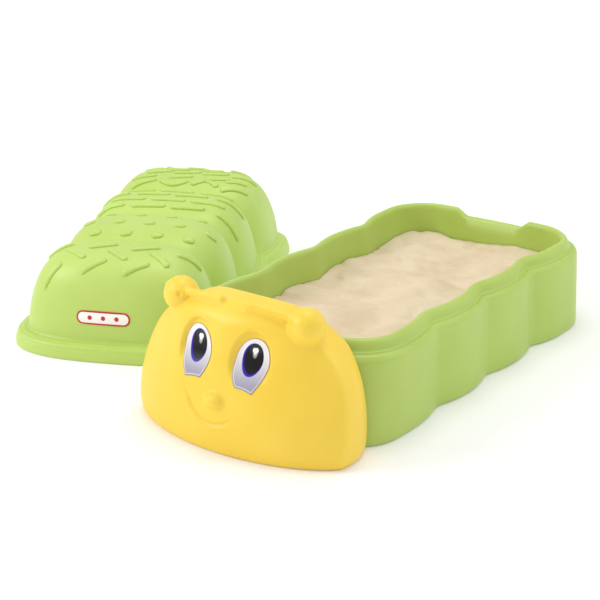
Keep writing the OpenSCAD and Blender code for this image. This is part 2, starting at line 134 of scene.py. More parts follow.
def finish_object(name: str, bm: bmesh.types.BMesh, place: Optional[Matrix] = None) -> bpy.types.Object:
    """Turn a bmesh into a smooth-shaded object at the origin.

    Args:
        name: The piece's name.
        bm: The shape, which is freed.
        place: Where the mesh goes, if not where it was made.

    Returns:
        The new object.
    """
    if place is not None:
        bmesh.ops.transform(bm, matrix=place, verts=bm.verts)
    for face in bm.faces:
        face.smooth = True
    mesh = bpy.data.meshes.new(name)
    bm.to_mesh(mesh)
    bm.free()
    obj = bpy.data.objects.new(name, mesh)
    bpy.context.scene.collection.objects.link(obj)
    return obj


def settle(obj: bpy.types.Object) -> None:
    """Apply an object's modifiers to its mesh.

    Args:
        obj: The object, whose old mesh is dropped.
    """
    graph = bpy.context.evaluated_depsgraph_get()
    graph.update()
    mesh = bpy.data.meshes.new_from_object(obj.evaluated_get(graph), depsgraph=graph)
    old = obj.data
    obj.modifiers.clear()
    obj.data = mesh
    bpy.data.meshes.remove(old)


def carve(obj: bpy.types.Object, cutter: bpy.types.Object) -> None:
    """Cut one object out of another and drop the cutter.

    Args:
        obj: The object that is cut.
        cutter: The object that is taken away.
    """
    cut = obj.modifiers.new("Cut", "BOOLEAN")
    cut.operation = "DIFFERENCE"
    cut.solver = "EXACT"
    cut.object = cutter
    settle(obj)
    bpy.data.objects.remove(cutter)


def rod(bm: bmesh.types.BMesh, radius: float, length: float, place: Matrix, sides: int = 48) -> None:
    """Add a closed straight rod.

    Args:
        bm: The shape that gets it.
        radius: Its radius in millimetres.
        length: Its length in millimetres.
        place: Its middle and turn, in metres; the rod lies along the turned Z.
        sides: Faces round it.
    """
    bmesh.ops.create_cone(
        bm, cap_ends=True, segments=sides, radius1=radius * MM, radius2=radius * MM,
        depth=length * MM, matrix=place,
    )


def tree_of(bm: bmesh.types.BMesh) -> BVHTree:
    """Search tree of a shape, for laying films and marks on it."""
    return BVHTree.FromBMesh(bm)


def hand_over(obj: bpy.types.Object, body: str, slot: str, *nodes: str) -> None:
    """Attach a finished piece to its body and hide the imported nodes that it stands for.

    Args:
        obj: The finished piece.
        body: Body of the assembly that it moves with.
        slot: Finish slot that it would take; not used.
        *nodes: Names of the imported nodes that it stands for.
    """
    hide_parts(*nodes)
    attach(obj, body)
    LOG.info("%s: %d faces on %s", obj.name, len(obj.data.polygons), body)


# ---- Material helpers ----
def linear(hex_colour: str) -> tuple[float, float, float, float]:
    """Turn an sRGB hex colour into the linear colour that a node takes.

    Args:
        hex_colour: Colour as #RRGGBB.

    Returns:
        Red, green, blue and a full alpha.
    """
    channels = [int(hex_colour[i : i + 2], 16) / 255 for i in (1, 3, 5)]
    r, g, b = (c / 12.92 if c <= 0.04045 else ((c + 0.055) / 1.055) ** 2.4 for c in channels)
    return (r, g, b, 1.0)


def add(
    tree: bpy.types.NodeTree, kind: str, inputs: Optional[dict] = None, **settings: object
) -> bpy.types.Node:
    """Add a node with its settings and its links.

    Args:
        tree: The node tree.
        kind: The node's type.
        inputs: Value or output socket for each input, by name or number.
        **settings: Attributes of the node.

    Returns:
        The new node.
    """
    node = tree.nodes.new(kind)
    for name, value in settings.items():
        setattr(node, name, value)
    for key, value in (inputs or {}).items():
        if isinstance(value, bpy.types.NodeSocket):
            tree.links.new(value, node.inputs[key])
        else:
            node.inputs[key].default_value = value
    return node


def start_material(name: str) -> tuple[bpy.types.Material, bpy.types.NodeTree, bpy.types.Node]:
    """Make a material with a shader and an output.

    Args:
        name: The material's name.

    Returns:
        The material, its node tree and its shader.
    """
    material = bpy.data.materials.new(name)
    material.use_nodes = True
    tree = material.node_tree
    tree.nodes.clear()
    shader = add(tree, "ShaderNodeBsdfPrincipled")
    add(tree, "ShaderNodeOutputMaterial", {"Surface": shader.outputs[0]})
    return material, tree, shader


def per_metre(size_mm: float) -> float:
    """Scale of a noise texture whose features are size_mm across."""
    return 1 / (size_mm * MM)


def dress(obj: bpy.types.Object, material: bpy.types.Material) -> None:
    """Give every slot of an object one material.

    Args:
        obj: The object.
        material: The material that it takes.
    """
    if not obj.data.materials:
        obj.data.materials.append(material)
    for i in range(len(obj.data.materials)):
        obj.data.materials[i] = material


@dataclass(frozen=True)
class Polyethylene:
    """Moulded polyethylene: a soft satin skin, faintly uneven where it cooled on the mould.

    Broad clouds of colour and gloss show how the plastic melted; a fine orange peel breaks up
    the highlights. The peel is drawn at 2.5 mm, coarser than the real 0.5 mm grain, to show.
    """

    name: str
    colour: str
    cloud_colour: str
    cloud_mm: float = 140.0
    peel_mm: float = 2.5
    wave_mm: float = 45.0
    roughness: float = 0.42
    ior: float = 1.51
    glow: float = 0.06

    def make(self) -> bpy.types.Material:
        """Build the material.

        Returns:
            A plastic with clouds, a broad wave and an orange peel.
        """
        material, tree, shader = start_material(self.name)
        place = add(tree, "ShaderNodeTexCoord").outputs["Object"]
        clouds = add(
            tree, "ShaderNodeTexNoise", {"Vector": place, "Scale": per_metre(self.cloud_mm), "Detail": 3.0}
        ).outputs[0]
        share = add(
            tree, "ShaderNodeMapRange",
            {"Value": clouds, "From Min": 0.35, "From Max": 0.65, "To Min": 0.0, "To Max": 1.0},
        ).outputs[0]
        colour = add(
            tree, "ShaderNodeMix", {0: share, 6: linear(self.colour), 7: linear(self.cloud_colour)},
            data_type="RGBA",
        ).outputs[2]
        gloss = add(
            tree, "ShaderNodeMapRange",
            {"Value": clouds, "From Min": 0.3, "From Max": 0.7,
             "To Min": self.roughness - 0.03, "To Max": self.roughness + 0.05},
        ).outputs[0]
        peel = add(
            tree, "ShaderNodeTexNoise", {"Vector": place, "Scale": per_metre(self.peel_mm), "Detail": 2.0}
        ).outputs[0]
        waves = add(
            tree, "ShaderNodeTexNoise", {"Vector": place, "Scale": per_metre(self.wave_mm), "Detail": 1.0}
        ).outputs[0]
        broad = add(
            tree, "ShaderNodeBump", {"Height": waves, "Strength": 0.25, "Distance": 0.0012}
        ).outputs[0]
        relief = add(
            tree, "ShaderNodeBump", {"Height": peel, "Normal": broad, "Strength": 0.12, "Distance": 0.0002}
        ).outputs[0]
        for key, value in (("Base Color", colour), ("Roughness", gloss), ("Normal", relief)):
            tree.links.new(value, shader.inputs[key])
        shader.inputs["IOR"].default_value = self.ior
        shader.inputs["Subsurface Weight"].default_value = self.glow
        shader.inputs["Subsurface Radius"].default_value = (0.006, 0.006, 0.003)
        return material


@dataclass(frozen=True)
class PlaySand:
    """Dry screened play sand: pale quartz grains with a few dark ones, and damp clouds.

    Grains are drawn at 1.6 mm, coarser than the real 0.5 mm, so that they show.
    """

    name: str = "Play_sand_dry_screened_quartz"
    light: str = "#DFCEB2"
    shade: str = "#D5C1A2"
    dark: str = "#A38F76"
    grain_mm: float = 1.6
    cloud_mm: float = 90.0
    roughness: float = 0.95

    def make(self) -> bpy.types.Material:
        """Build the material.

        Returns:
            A sand with damp clouds, a few dark grains and a rough relief.
        """
        material, tree, shader = start_material(self.name)
        place = add(tree, "ShaderNodeTexCoord").outputs["Object"]
        clouds = add(
            tree, "ShaderNodeTexNoise", {"Vector": place, "Scale": per_metre(self.cloud_mm), "Detail": 5.0}
        ).outputs[0]
        grains = add(
            tree, "ShaderNodeTexNoise", {"Vector": place, "Scale": per_metre(self.grain_mm), "Detail": 2.0}
        ).outputs[0]
        specks = add(
            tree, "ShaderNodeTexVoronoi", {"Vector": place, "Scale": per_metre(self.grain_mm * 2)}
        ).outputs["Distance"]
        share = add(
            tree, "ShaderNodeMapRange", {"Value": clouds, "From Min": 0.38, "From Max": 0.62}
        ).outputs[0]
        ground = add(
            tree, "ShaderNodeMix", {0: share, 6: linear(self.light), 7: linear(self.shade)}, data_type="RGBA"
        ).outputs[2]
        few = add(
            tree, "ShaderNodeMapRange",
            {"Value": grains, "From Min": 0.62, "From Max": 0.8, "To Min": 0.0, "To Max": 0.55},
        ).outputs[0]
        colour = add(
            tree, "ShaderNodeMix", {0: few, 6: ground, 7: linear(self.dark)}, data_type="RGBA"
        ).outputs[2]
        coarse = add(
            tree, "ShaderNodeBump", {"Height": specks, "Strength": 0.4, "Distance": 0.001}
        ).outputs[0]
        relief = add(
            tree, "ShaderNodeBump", {"Height": grains, "Normal": coarse, "Strength": 0.6, "Distance": 0.0008}
        ).outputs[0]
        for key, value in (("Base Color", colour), ("Normal", relief)):
            tree.links.new(value, shader.inputs[key])
        shader.inputs["Roughness"].default_value = self.roughness
        shader.inputs["Specular IOR Level"].default_value = 0.25
        return material


@dataclass(frozen=True)
class Spot:
    """One printed ellipse: middle and half-sizes in millimetres, lean, colour and soft edge."""

    middle: Point2
    half: Point2
    colour: str
    lean: float = 0.0
    soft: float = 0.04
    strength: float = 1.0


# A film's UV map spans this many millimetres, with the film's middle at its centre.
FILM_UV = 100.0


@dataclass(frozen=True)
class PrintedFilm:
    """Printed vinyl film under a clear gloss laminate: flat inks, a soft sheen and cut edges."""

    name: str
    low: str
    high: str
    half_height: float
    spots: Sequence[Spot] = ()
    rim: str = "#FFFFFF"
    rim_at: float = 0.93
    rim_wide: float = 0.03
    rim_strength: float = 0.5
    edge: str = "#8E8A98"
    edge_from: float = 0.965
    edge_soft: float = 0.035
    roughness: float = 0.28

    def make(self) -> bpy.types.Material:
        """Build the material from the film's own UV map and its reach attribute.

        Returns:
            A film with its ground colour, rim, cut edge and spots.
        """
        material, tree, shader = start_material(self.name)
        plane = add(tree, "ShaderNodeUVMap", uv_map="film").outputs[0]
        height = add(tree, "ShaderNodeSeparateXYZ", {0: plane}).outputs[1]
        tall = self.half_height / FILM_UV
        share = add(
            tree, "ShaderNodeMapRange",
            {"Value": height, "From Min": 0.5 - tall, "From Max": 0.5 + tall * 0.5},
            interpolation_type="SMOOTHSTEP",
        ).outputs[0]
        colour = add(
            tree, "ShaderNodeMix", {0: share, 6: linear(self.low), 7: linear(self.high)}, data_type="RGBA"
        ).outputs[2]
        reach = add(tree, "ShaderNodeAttribute", attribute_name="reach").outputs["Fac"]
        off = add(tree, "ShaderNodeMath", {0: reach, 1: self.rim_at}, operation="SUBTRACT").outputs[0]
        far = add(tree, "ShaderNodeMath", {0: off}, operation="ABSOLUTE").outputs[0]
        line = add(
            tree, "ShaderNodeMapRange",
            {"Value": far, "From Min": self.rim_wide, "From Max": self.rim_wide * 0.3,
             "To Min": 0.0, "To Max": self.rim_strength},
        ).outputs[0]
        colour = add(
            tree, "ShaderNodeMix", {0: line, 6: colour, 7: linear(self.rim)}, data_type="RGBA"
        ).outputs[2]
        cut = add(
            tree, "ShaderNodeMapRange",
            {"Value": reach, "From Min": self.edge_from, "From Max": self.edge_from + self.edge_soft},
        ).outputs[0]
        colour = add(
            tree, "ShaderNodeMix", {0: cut, 6: colour, 7: linear(self.edge)}, data_type="RGBA"
        ).outputs[2]
        for spot in self.spots:
            colour = self.print_spot(tree, plane, colour, spot)
        tree.links.new(colour, shader.inputs["Base Color"])
        shader.inputs["Roughness"].default_value = self.roughness
        shader.inputs["Specular IOR Level"].default_value = 0.3
        return material

    @staticmethod
    def print_spot(
        tree: bpy.types.NodeTree, plane: bpy.types.NodeSocket, under: bpy.types.NodeSocket, spot: Spot
    ) -> bpy.types.NodeSocket:
        """Lay one ellipse of ink over the colour below it.

        Args:
            tree: The material's node tree.
            plane: Socket with the film's own UV place.
            under: Socket with the colour below.
            spot: The ellipse.

        Returns:
            Socket with the new colour.
        """
        local = add(
            tree, "ShaderNodeMapping",
            {"Vector": plane,
             "Location": (0.5 + spot.middle[0] / FILM_UV, 0.5 + spot.middle[1] / FILM_UV, 0),
             "Rotation": (0, 0, math.radians(spot.lean)),
             "Scale": (spot.half[0] / FILM_UV, spot.half[1] / FILM_UV, 1)},
            vector_type="TEXTURE",
        ).outputs[0]
        away = add(tree, "ShaderNodeVectorMath", {0: local}, operation="LENGTH").outputs["Value"]
        ink = add(
            tree, "ShaderNodeMapRange",
            {"Value": away, "From Min": 1 + spot.soft, "From Max": 1 - spot.soft,
             "To Min": 0.0, "To Max": spot.strength},
            interpolation_type="SMOOTHSTEP",
        ).outputs[0]
        return add(
            tree, "ShaderNodeMix", {0: ink, 6: under, 7: linear(spot.colour)}, data_type="RGBA"
        ).outputs[2]


@dataclass(frozen=True)
class TurnedMetal:
    """Turned fastener metal: fine tool rings give a drawn-out satin sheen."""

    name: str
    colour: str
    roughness: float = 0.32
    ring_mm: float = 0.6

    def make(self) -> bpy.types.Material:
        """Build the material.

        Returns:
            A metal with a drawn-out sheen.
        """
        material, tree, shader = start_material(self.name)
        place = add(tree, "ShaderNodeTexCoord").outputs["Object"]
        rings = add(
            tree, "ShaderNodeTexNoise", {"Vector": place, "Scale": per_metre(self.ring_mm), "Detail": 2.0}
        ).outputs[0]
        rough = add(
            tree, "ShaderNodeMapRange",
            {"Value": rings, "To Min": self.roughness - 0.08, "To Max": self.roughness + 0.1},
        ).outputs[0]
        relief = add(
            tree, "ShaderNodeBump", {"Height": rings, "Strength": 0.15, "Distance": 0.0001}
        ).outputs[0]
        tree.links.new(rough, shader.inputs["Roughness"])
        tree.links.new(relief, shader.inputs["Normal"])
        shader.inputs["Base Color"].default_value = linear(self.colour)
        shader.inputs["Metallic"].default_value = 1.0
        return material


GREEN = Polyethylene("Rotomoulded_polyethylene_leaf_green", "#AFC75C", "#B5CC64")
COVER_GREEN = Polyethylene("Vacuum_formed_polyethylene_leaf_green", "#B9D268", "#BED66F")
YELLOW = Polyethylene("Rotomoulded_polyethylene_sun_yellow", "#F5D03F", "#F8D54A", glow=0.08)
PLUG_GREEN = Polyethylene("Injection_moulded_polyethylene_plug_green", "#8FB043", "#97B74A", cloud_mm=8)
STEEL = TurnedMetal("Zinc_plated_steel_turned", "#BFC2C6")
BRASS = TurnedMetal("Brass_turned_knurled", "#C9A24A", roughness=0.3)


# ---- Plan shared by the tub, the cover and the sand ----
@dataclass(frozen=True)
class ScallopedPlan:
    """Plan of the tub: four scalloped segments between a rounded front and a round rear.

    The bow of the rear grows from a share, corner_bow, at its corners to rear_bow in its middle.
    """

    length: float = 1010
    width: float = 558
    first_segment: float = 290
    last_segment: float = 300
    apex_in: float = 6
    valley_in: float = 25
    valley_blend: float = 8
    crease_power: float = 1.7
    front_round: float = 172
    rear_radius: float = 141
    rear_bow: float = 10
    corner_bow: float = 0.3
    front_steps: int = 46
    side_pitch: float = 4.5
    rear_steps: int = 26
    end_steps: int = 40

    @property
    def half(self) -> float:
        """Half of the widest width."""
        return self.width / 2

    @property
    def front_y(self) -> float:
        """Plane of the front wall."""
        return -self.length / 2

    @property
    def corner_y(self) -> float:
        """Where the rear corners begin."""
        return self.length / 2 - self.rear_bow - self.rear_radius

    @property
    def valleys(self) -> tuple[float, float, float]:
        """Places of the three valleys.

        Returns:
            Their y, from the front.
        """
        pitch = (self.length - self.first_segment - self.last_segment) / 2
        first = self.front_y + self.first_segment
        return (first, first + pitch, first + 2 * pitch)

    @property
    def apexes(self) -> tuple[float, float, float, float]:
        """Places where each segment is widest."""
        a, b, c = self.valleys
        return (self.front_y + self.front_round, (a + b) / 2, (b + c) / 2, c + (c - b) / 2)

    def arches(self, y: float) -> list[float]:
        """Indent that each segment's own arch would give.

        Args:
            y: Place along the tub.

        Returns:
            One indent for each segment, from the front.
        """
        apexes, valleys = self.apexes, self.valleys
        near = (valleys[0], valleys[1], valleys[2], valleys[2])
        made = []
        for i, (apex, valley) in enumerate(zip(apexes, near)):
            least = 0.0 if i == 3 else self.apex_in
            flat = (i == 0 and y < apex) or (i == 3 and y > apex)
            share = 0.0 if flat else ((y - apex) / (valley - apex)) ** 2
            made.append(least + (self.valley_in - least) * share)
        return made

    def indent(self, y: float, soften: float) -> float:
        """Indent of the side wall, with rounded valleys.

        Args:
            y: Place along the tub.
            soften: Extra rounding of the valleys.

        Returns:
            How far the wall stands in from the widest line.
        """
        a, b, c, d = self.arches(y)
        k = self.valley_blend + soften
        return soft_min(soft_min(a, b, k), soft_min(c, d, k), k)

    def crease(self, y: float) -> float:
        """Nearness to the crease of a valley.

        Args:
            y: Place along the tub.

        Returns:
            1 in the crease, 0 over the middle of a segment.
        """
        if y < self.apexes[0] or y > self.apexes[3]:
            return 0.0
        depth = (min(self.arches(y)) - self.apex_in) / (self.valley_in - self.apex_in)
        return clamp(depth) ** self.crease_power

    def front_wall(self, x: float, power: float) -> float:
        """Y of the rounded front at x."""
        share = abs(x) / (self.half - self.apex_in)
        return self.apexes[0] - self.front_round * superellipse(min(share, 0.9999), power)

    def front_points(self, inset: float, front_inset: float, power: float) -> list[Point2]:
        """Evenly spaced points of the rounded front, from its middle to the widest line.

        Args:
            inset: How far the outline is drawn in.
            front_inset: How far its front is drawn in.
            power: Squareness of its corners.

        Returns:
            The points of the front's right half.
        """
        fine = 240
        wide = self.half - self.apex_in - inset
        deep = self.front_round - front_inset
        curve = []
        for t in steps(fine):
            angle = t * math.pi / 2
            across = wide * math.sin(angle) ** (2 / power)
            curve.append((across, self.apexes[0] - deep * max(math.cos(angle), 0.0) ** (2 / power)))
        run = [0.0]
        for a, b in zip(curve, curve[1:]):
            run.append(run[-1] + math.dist(a, b))
        points, k = [], 0
        for t in steps(self.front_steps)[:-1]:
            want = t * run[-1]
            while run[k + 1] < want:
                k += 1
            part = (want - run[k]) / (run[k + 1] - run[k])
            points.append((mix(curve[k][0], curve[k + 1][0], part), mix(curve[k][1], curve[k + 1][1], part)))
        return points

    def outline(self, inset: float, front_inset: float, power: float, soften: float = 0.0) -> list[Point2]:
        """Trace the whole outline, anticlockwise from the middle of the front.

        Args:
            inset: How far it is drawn in.
            front_inset: How far its front is drawn in.
            power: Squareness of its front corners.
            soften: Extra rounding of the valleys.

        Returns:
            The outline's points.
        """
        start, valleys = self.apexes[0], self.valleys
        side = []
        for low, high in zip((start, *valleys), (*valleys, self.corner_y)):
            count = max(round((high - low) / self.side_pitch), 2)
            side += [mix(low, high, t) for t in steps(count)[:-1]]
        radius = self.rear_radius - inset
        flat = self.half - self.rear_radius
        half = self.front_points(inset, front_inset, power)
        half += [(self.half - self.indent(y, soften) - inset, y) for y in side]
        for t in steps(self.rear_steps):
            angle = t * math.pi / 2
            bow = self.rear_bow * self.corner_bow * smooth(math.sin(angle) - math.cos(angle))
            half.append((flat + radius * math.cos(angle), self.corner_y + radius * math.sin(angle) + bow))
        for t in steps(self.end_steps)[1:]:
            bow = self.rear_bow * mix(self.corner_bow, 1.0, math.sin(t * math.pi / 2))
            half.append((flat * (1 - t), self.corner_y + radius + bow))
        return half + [(-x, y) for x, y in reversed(half[1:-1])]


PLAN = ScallopedPlan()


# ---- Tub ----
@dataclass
class Tub:
    """Double-walled tub with a ledge, a raised lip and a basin.

    The foot, wall, shoulder, lip and basin are stretches of one profile, each a row of insets
    with their heights. The front wall slopes by front_draft of what the side walls do.
    """

    plan: ScallopedPlan = PLAN
    height: float = 214
    lip_height: float = 26
    front_square: float = 4.0
    lip_square: float = 2.7
    notch_half: float = 66
    notch_ramp: float = 42
    notch_share: float = 0.97
    front_draft: float = 0.4
    upright_from: float = 9
    ledge_in: float = 20
    valley_ease: float = 0.45
    screw_x: float = 110
    screw_heights: tuple[float, float] = (72, 162)
    well_radius: float = 17
    well_seat: float = 34
    well_reach: float = 90
    vent_radius: float = 6.2
    vent_depth: float = 2.4
    vent_y: float = -415
    foot: Sequence[Point2] = (
        (60, 0), (14, 0), (9, 0), (6.2, 0.5), (3.4, 1.9), (1.6, 4.2), (0.8, 7), (0.6, 10),
    )
    wall: Sequence[Point2] = ((1.4, 34), (2.6, 66), (3.8, 98), (5.0, 130), (6.2, 156), (6.9, 171))
    shoulder: Sequence[Point2] = (
        (7.3, 176.5), (8.6, 181.4), (11, 185), (14.2, 187), (17.4, 187.7), (19.2, 187.3), (20.2, 186.6),
        (21.2, 186.9), (22, 188.6), (22.8, 190), (24, 190.8), (25.2, 191.2),
    )
    lip: Sequence[Point2] = (
        (26.2, 192.6), (27.2, 196), (28.6, 201), (30.6, 206), (33.2, 210), (36.2, 212.6), (39.4, 213.8),
        (42.4, 213.8), (45.2, 212.4), (47.4, 209.8), (49, 206), (49.9, 201.4),
    )
    basin: Sequence[Point2] = (
        (50.6, 190), (52, 160), (53.6, 120), (55, 85), (56, 60), (57.4, 51), (60.4, 44), (65.6, 39),
        (74, 36.4), (86, 36),
    )

    @property
    def ledge(self) -> float:
        """Height of the ledge."""
        return self.height - self.lip_height

    def square_at(self, z: float) -> float:
        """Squareness of the front corners at height z."""
        return mix(self.front_square, self.lip_square, clamp(z / self.ledge))

    def lip_at(self, x: float, y: float, z: float) -> float:
        """Height of the lip's surface, which drops to the ledge in the rear notch.

        Args:
            x: Place across the tub.
            y: Place along it.
            z: Height of the profile.

        Returns:
            The height once the notch is let in.
        """
        if z <= self.ledge + 1 or y < self.plan.corner_y:
            return z
        notch = 1 - smooth((abs(x) - self.notch_half) / self.notch_ramp)
        return self.ledge + 1 + (z - self.ledge - 1) * (1 - self.notch_share * notch)

    def ring(self, inset: float, z: float) -> Ring:
        """One ring of the tub; the front wall stands nearly upright up to the shoulder.

        Args:
            inset: How far the ring is drawn in.
            z: Its height.

        Returns:
            The ring's points, in metres.
        """
        upright = z >= self.upright_from and inset <= self.shoulder[0][0]
        front = (inset - self.foot[-1][0]) * self.front_draft if upright else inset
        soften = self.valley_ease * max(inset - self.ledge_in, 0)
        points = self.plan.outline(inset, front, self.square_at(z), soften)
        return [Vector((x, y, self.lip_at(x, y, z))) * MM for x, y in points]

    def cutter(self) -> bpy.types.Object:
        """Cylinders that cut the four screw wells and the recess under the vent plug.

        Returns:
            One object that holds them all.
        """
        bm = bmesh.new()
        for x in (-self.screw_x, self.screw_x):
            for z in self.screw_heights:
                middle = Vector((x, self.plan.front_y + self.well_seat + self.well_reach / 2, z)) * MM
                turned = Matrix.Translation(middle) @ Matrix.Rotation(math.pi / 2, 4, "X")
                rod(bm, self.well_radius, self.well_reach, turned)
        below = Matrix.Translation(Vector((0, self.vent_y, -self.vent_depth / 4)) * MM)
        rod(bm, self.vent_radius, self.vent_depth, below)
        return finish_object("well_cutter", bm)

    def build(self) -> bpy.types.Object:
        """Build the tub.

        Returns:
            The finished tub.
        """
        levels = [*self.foot, *self.wall, *self.shoulder, *self.lip, *self.basin]
        tub = finish_object("tub_shell", loft([self.ring(i, z) for i, z in levels], True, True))
        carve(tub, self.cutter())
        dress(tub, GREEN.make())
        hand_over(tub, "tub", "tub_plastic", "tub")
        return tub


# ---- Sand ----
@dataclass
class Sand:
    """Loose sand in the basin, raked and trodden into low dunes."""

    plan: ScallopedPlan = PLAN
    level: float = 140
    ripple: float = 7
    wall_in: float = 54
    foot_in: float = 60
    foot_z: float = 44
    square: float = 2.7
    soften: float = 15
    ring_count: int = 44
    dune_size: float = 95
    dune_height: float = 8
    mark_size: float = 30
    mark_height: float = 2.2
    tread_size: float = 42
    tread_depth: float = 12
    mound_at: Point2 = (160, 410)
    mound_half: Point2 = (80, 110)
    mound_height: float = 14

    def height(self, x: float, y: float) -> float:
        """Height of the sand's surface.

        Args:
            x: Place across the tub.
            y: Place along it.

        Returns:
            The height, with its swell, dunes, rake marks, treads and mound.
        """
        swell = math.sin(math.radians(x * 1.1 + 40)) * math.cos(math.radians(y * 0.7))
        swell += 0.6 * math.sin(math.radians(y * 1.3 + x * 0.5))
        dunes = noise.noise(Vector((x, y, 0)) / self.dune_size) * self.dune_height
        marks = noise.noise(Vector((x, y, 40)) / self.mark_size) * self.mark_height
        treads = noise.noise(Vector((x, y, 90)) / self.tread_size) - 0.12
        trodden = -max(treads, 0.0) * self.tread_depth
        off_x = (x - self.mound_at[0]) / self.mound_half[0]
        off_y = (y - self.mound_at[1]) / self.mound_half[1]
        mound = self.mound_height * math.exp(-(off_x**2) - off_y**2)
        return self.level + self.ripple * 0.7 * swell + dunes + marks + trodden + mound

    def build(self) -> bpy.types.Object:
        """Build the bed of sand as a closed body.

        Returns:
            The finished sand.
        """
        rings = []
        for inset, z in ((self.foot_in + 26, self.foot_z - 7), (self.foot_in, self.foot_z)):
            outline = self.plan.outline(inset, inset, self.square, self.soften)
            rings.append([Vector((x, y, z)) * MM for x, y in outline])
        edge = self.plan.outline(self.wall_in, self.wall_in, self.square, self.soften)
        reach = self.plan.half - self.wall_in
        low = self.plan.front_y + self.wall_in + reach * 0.75
        high = self.plan.length / 2 - self.wall_in - reach
        for t in steps(self.ring_count):
            ring = []
            for x, y in edge:
                px, py = mix(x, 0, t), mix(y, clamp(y, low, high), t)
                ring.append(Vector((px, py, self.height(px, py))) * MM)
            rings.append(ring)
        sand = finish_object("sand_surface", loft(rings, True, False))
        dress(sand, PlaySand().make())
        hand_over(sand, "tub", "sand", "sand_bed")
        return sand


# ---- Films ----
def lay_film(
    name: str,
    edge: Callable[[float], Point2],
    middle: Point2,
    tree: BVHTree,
    lift: float,
    thickness: float,
    rings: int = 16,
    spokes: int = 112,
    reach_at: Optional[Callable[[float, float], float]] = None,
) -> bmesh.types.BMesh:
    """Lay a thin film on a face that looks towards -Y.

    Args:
        name: Name used in the log.
        edge: Outline of the film, from a share of a turn to a place about its middle.
        middle: Middle of the film as (x, z).
        tree: Search tree of the surface that carries it.
        lift: Gap between the surface and the film's back.
        thickness: Thickness of the film.
        rings: Rings between the middle and the edge.
        spokes: Points round the edge.
        reach_at: Share of the reach at a place about the middle, if not the share of a spoke.

    Returns:
        The film with a UV map of its flat print and an attribute of the share of its reach.
    """
    bm = bmesh.new()
    bmesh.ops.create_circle(bm, cap_ends=True, cap_tris=True, segments=spokes, radius=1.0)
    hub = min(bm.verts, key=lambda v: v.co.length)
    bmesh.ops.subdivide_edges(bm, edges=list(hub.link_edges), cuts=rings - 1, use_grid_fill=False)
    LOG.info("film %s: %d points", name, len(bm.verts))
    uv = bm.loops.layers.uv.new("film")
    share = bm.verts.layers.float.new("reach")
    flat = {}
    for v in bm.verts:
        reach = min(v.co.length, 1.0)
        turn = (math.atan2(v.co.y, v.co.x) / (2 * math.pi)) % 1.0
        ex, ez = edge(turn)
        told = reach if reach_at is None else reach_at(ex * reach, ez * reach)
        flat[v] = (ex * reach, ez * reach, told)
    down = Vector((0, 1, 0))
    for v, (dx, dz, reach) in flat.items():
        start = Vector(((middle[0] + dx) * MM, -2.0, (middle[1] + dz) * MM))
        hit, normal, _, _ = tree.ray_cast(start, down)
        if normal.y > 0:
            normal = -normal
        v.co = hit + normal * (lift + thickness) * MM
        v[share] = reach
    for face in bm.faces:
        for loop in face.loops:
            dx, dz, _ = flat[loop.vert]
            loop[uv].uv = (0.5 + dx / FILM_UV, 0.5 + dz / FILM_UV)
    bmesh.ops.recalc_face_normals(bm, faces=bm.faces)
    if sum(f.normal.y * f.calc_area() for f in bm.faces) > 0:
        bmesh.ops.reverse_faces(bm, faces=bm.faces)
    bmesh.ops.solidify(bm, geom=bm.faces, thickness=thickness * MM)
    return bm


# ---- Head ----
class Side(Enum):
    """Side of the face, as the sign of its x."""

    LEFT = -1
    RIGHT = 1


